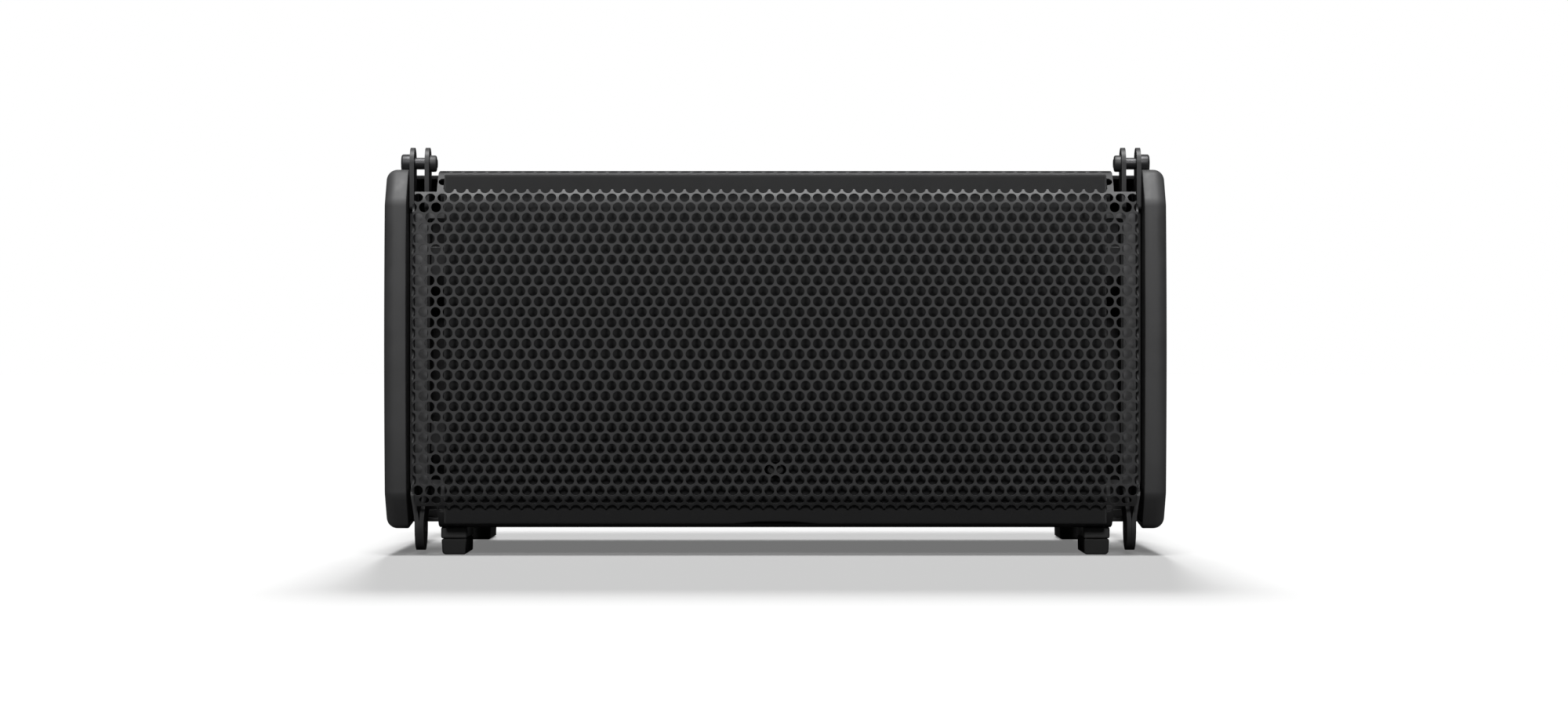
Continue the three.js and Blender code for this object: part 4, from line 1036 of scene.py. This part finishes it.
def makeCone(label, side):
    # depth grows with the way in from the rim and less and less so, then the wall runs on as the coil's tube
    form, rim, coil = wooferForm, wooferForm["coneRadius"], wooferForm["coilRadius"]
    radii = np.linspace(rim, coil - 1, 15)
    curve = lambda r: form["coneDepth"] + form["coneSlope"] * (rim - r) - form["coneBend"] * (rim - r) ** 2
    behind = np.linspace(coil, rim, 15)
    profile = [*zip(radii, curve(radii)), (coil - 1, form["coilEnd"]), (coil, form["coilEnd"]),
               *zip(behind, curve(behind) + np.interp(behind, [coil, rim], form["coneWall"]))]
    latheWoofer("paper_cone_" + label, profile, side, finishes["cone"], segments=72,
                body="woofer_cone_" + label, replaces=("woofer_cone_" + label,))


def makeDustCap(label, side):  # a dome: depth grows with the square of the radius
    front, back = np.linspace(0.02, 27, 11), np.linspace(25.4, 0.02, 11)
    profile = [*zip(front, 61.6 + 11.4 * (front / 27) ** 2), *zip(back, 63.4 + 10 * (back / 25.4) ** 2)]
    latheWoofer("dust_cap_" + label, profile, side, finishes["cone"], segments=60,
                body="woofer_cone_" + label, replaces=("woofer_dust_cap_" + label,))


for label, side in sides:
    makeSurround(label, side)
    makeSpider(label, side)
    makeCone(label, side)
    makeDustCap(label, side)
    softened("woofer_basket_" + label, finishes["basket"], 0.6)
    softened("woofer_magnet_" + label, finishes["magnet"], 0.8)
    softened("port_tube_" + label, finishes["horn"], 0.5)
for label in ("upper", "lower"):
    softened("compression_driver_" + label, finishes["magnet"], 0.8)
softened("waveguide", finishes["horn"], 0.5)
softened("crossover_board", finishes["circuit"], 0.3)
print("drivers made")

# Camera, light and floor.
cameraForm = {"distance": 2928.0, "height": 153.5, "lens": 85.0, "sensor": 36.0, "shiftX": 0.0055, "shiftY": 0.006}


def makeCamera():  # level and square to the front; the lens shifts place the picture
    data = bpy.data.cameras.new("studioCamera")
    data.lens = cameraForm["lens"]
    data.sensor_width = cameraForm["sensor"]
    data.shift_x = cameraForm["shiftX"]
    data.shift_y = cameraForm["shiftY"]
    data.clip_end = 50
    camera = bpy.data.objects.new("studioCamera", data)
    bpy.context.scene.collection.objects.link(camera)
    camera.location = (0, (frontY - cameraForm["distance"]) * mm, cameraForm["height"] * mm)
    camera.rotation_euler = (math.pi / 2, 0, 0)
    bpy.context.scene.camera = camera


def makeStage():  # a wide flat floor, pale to the eye and darker to the light that bounces off it
    mesh = bpy.data.meshes.new("studioFloor")
    half = stageForm["halfSize"]
    mesh.from_pydata([(-half, -half, 0), (half, -half, 0), (half, half, 0), (-half, half, 0)], [], [(0, 1, 2, 3)])
    floor = bpy.data.objects.new("studioFloor", mesh)
    bpy.context.scene.collection.objects.link(floor)
    material = bpy.data.materials.new("palePaper")
    material.use_nodes = True
    nodes = Nodes(material.node_tree)
    seen = nodes.add("ShaderNodeLightPath").outputs["Is Camera Ray"]
    tone = nodes.ramp(seen, 0.0, 1.0, stageForm["bounceTone"], stageForm["floorTone"])
    glow = nodes.ramp(seen, 0.0, 1.0, 0.0, stageForm["floorGlow"])
    matt = {"Base Color": tone, "Roughness": 1.0, "Specular IOR Level": 0.0,
            "Emission Color": (1, 1, 1, 1), "Emission Strength": glow}
    shader = nodes.add("ShaderNodeBsdfPrincipled", matt)
    nodes.add("ShaderNodeOutputMaterial", {"Surface": shader.outputs["BSDF"]})
    mesh.materials.append(material)


def makeWorld():  # white behind the object, and only a little light from all round it
    world = bpy.data.worlds.new("studio")
    world.use_nodes = True
    nodes = Nodes(world.node_tree)
    seen = nodes.add("ShaderNodeLightPath").outputs["Is Camera Ray"]
    strength = nodes.ramp(seen, 0.0, 1.0, stageForm["ambient"], 1.0)
    background = nodes.add("ShaderNodeBackground", {"Color": (1, 1, 1, 1), "Strength": strength})
    nodes.add("ShaderNodeOutputWorld", {"Surface": background.outputs["Background"]})
    bpy.context.scene.world = world


def softSun(name, turn, rise, spread, strength, glossy=True):  # turn is right of the front, rise is above the floor
    data = bpy.data.lights.new(name, "SUN")
    data.energy = strength
    data.angle = math.radians(spread)
    light = bpy.data.objects.new(name, data)
    bpy.context.scene.collection.objects.link(light)
    turn, rise = math.radians(turn), math.radians(rise)
    towards = Vector((math.sin(turn) * math.cos(rise), -math.cos(turn) * math.cos(rise), math.sin(rise)))
    light.rotation_euler = towards.to_track_quat("Z", "Y").to_euler()
    light.visible_glossy = glossy


stageForm = {"halfSize": 40.0, "floorTone": 0.3, "bounceTone": 0.05, "floorGlow": 0.17, "ambient": 0.02}
makeCamera()
makeStage()
makeWorld()
softSun("overheadKey", 0, 78, 18, 4.0)
softSun("frontFill", 0, 30, 12, 1.15)
softSun("shadowMaker", 180, 30, 10, 9.0, glossy=False)
bpy.context.scene.view_settings.view_transform = "Standard"

for node, holder in frame["nodes"].items():
    kind = next(entry["material_slot"] for entry in frame["record"]["subparts"] if entry["node"] == node)
    match = [finish for finish in finishes.values() if finish["slot"] == kind]
    for slotIndex in range(len(holder.material_slots)):
        holder.material_slots[slotIndex].material = match[0]["material"]
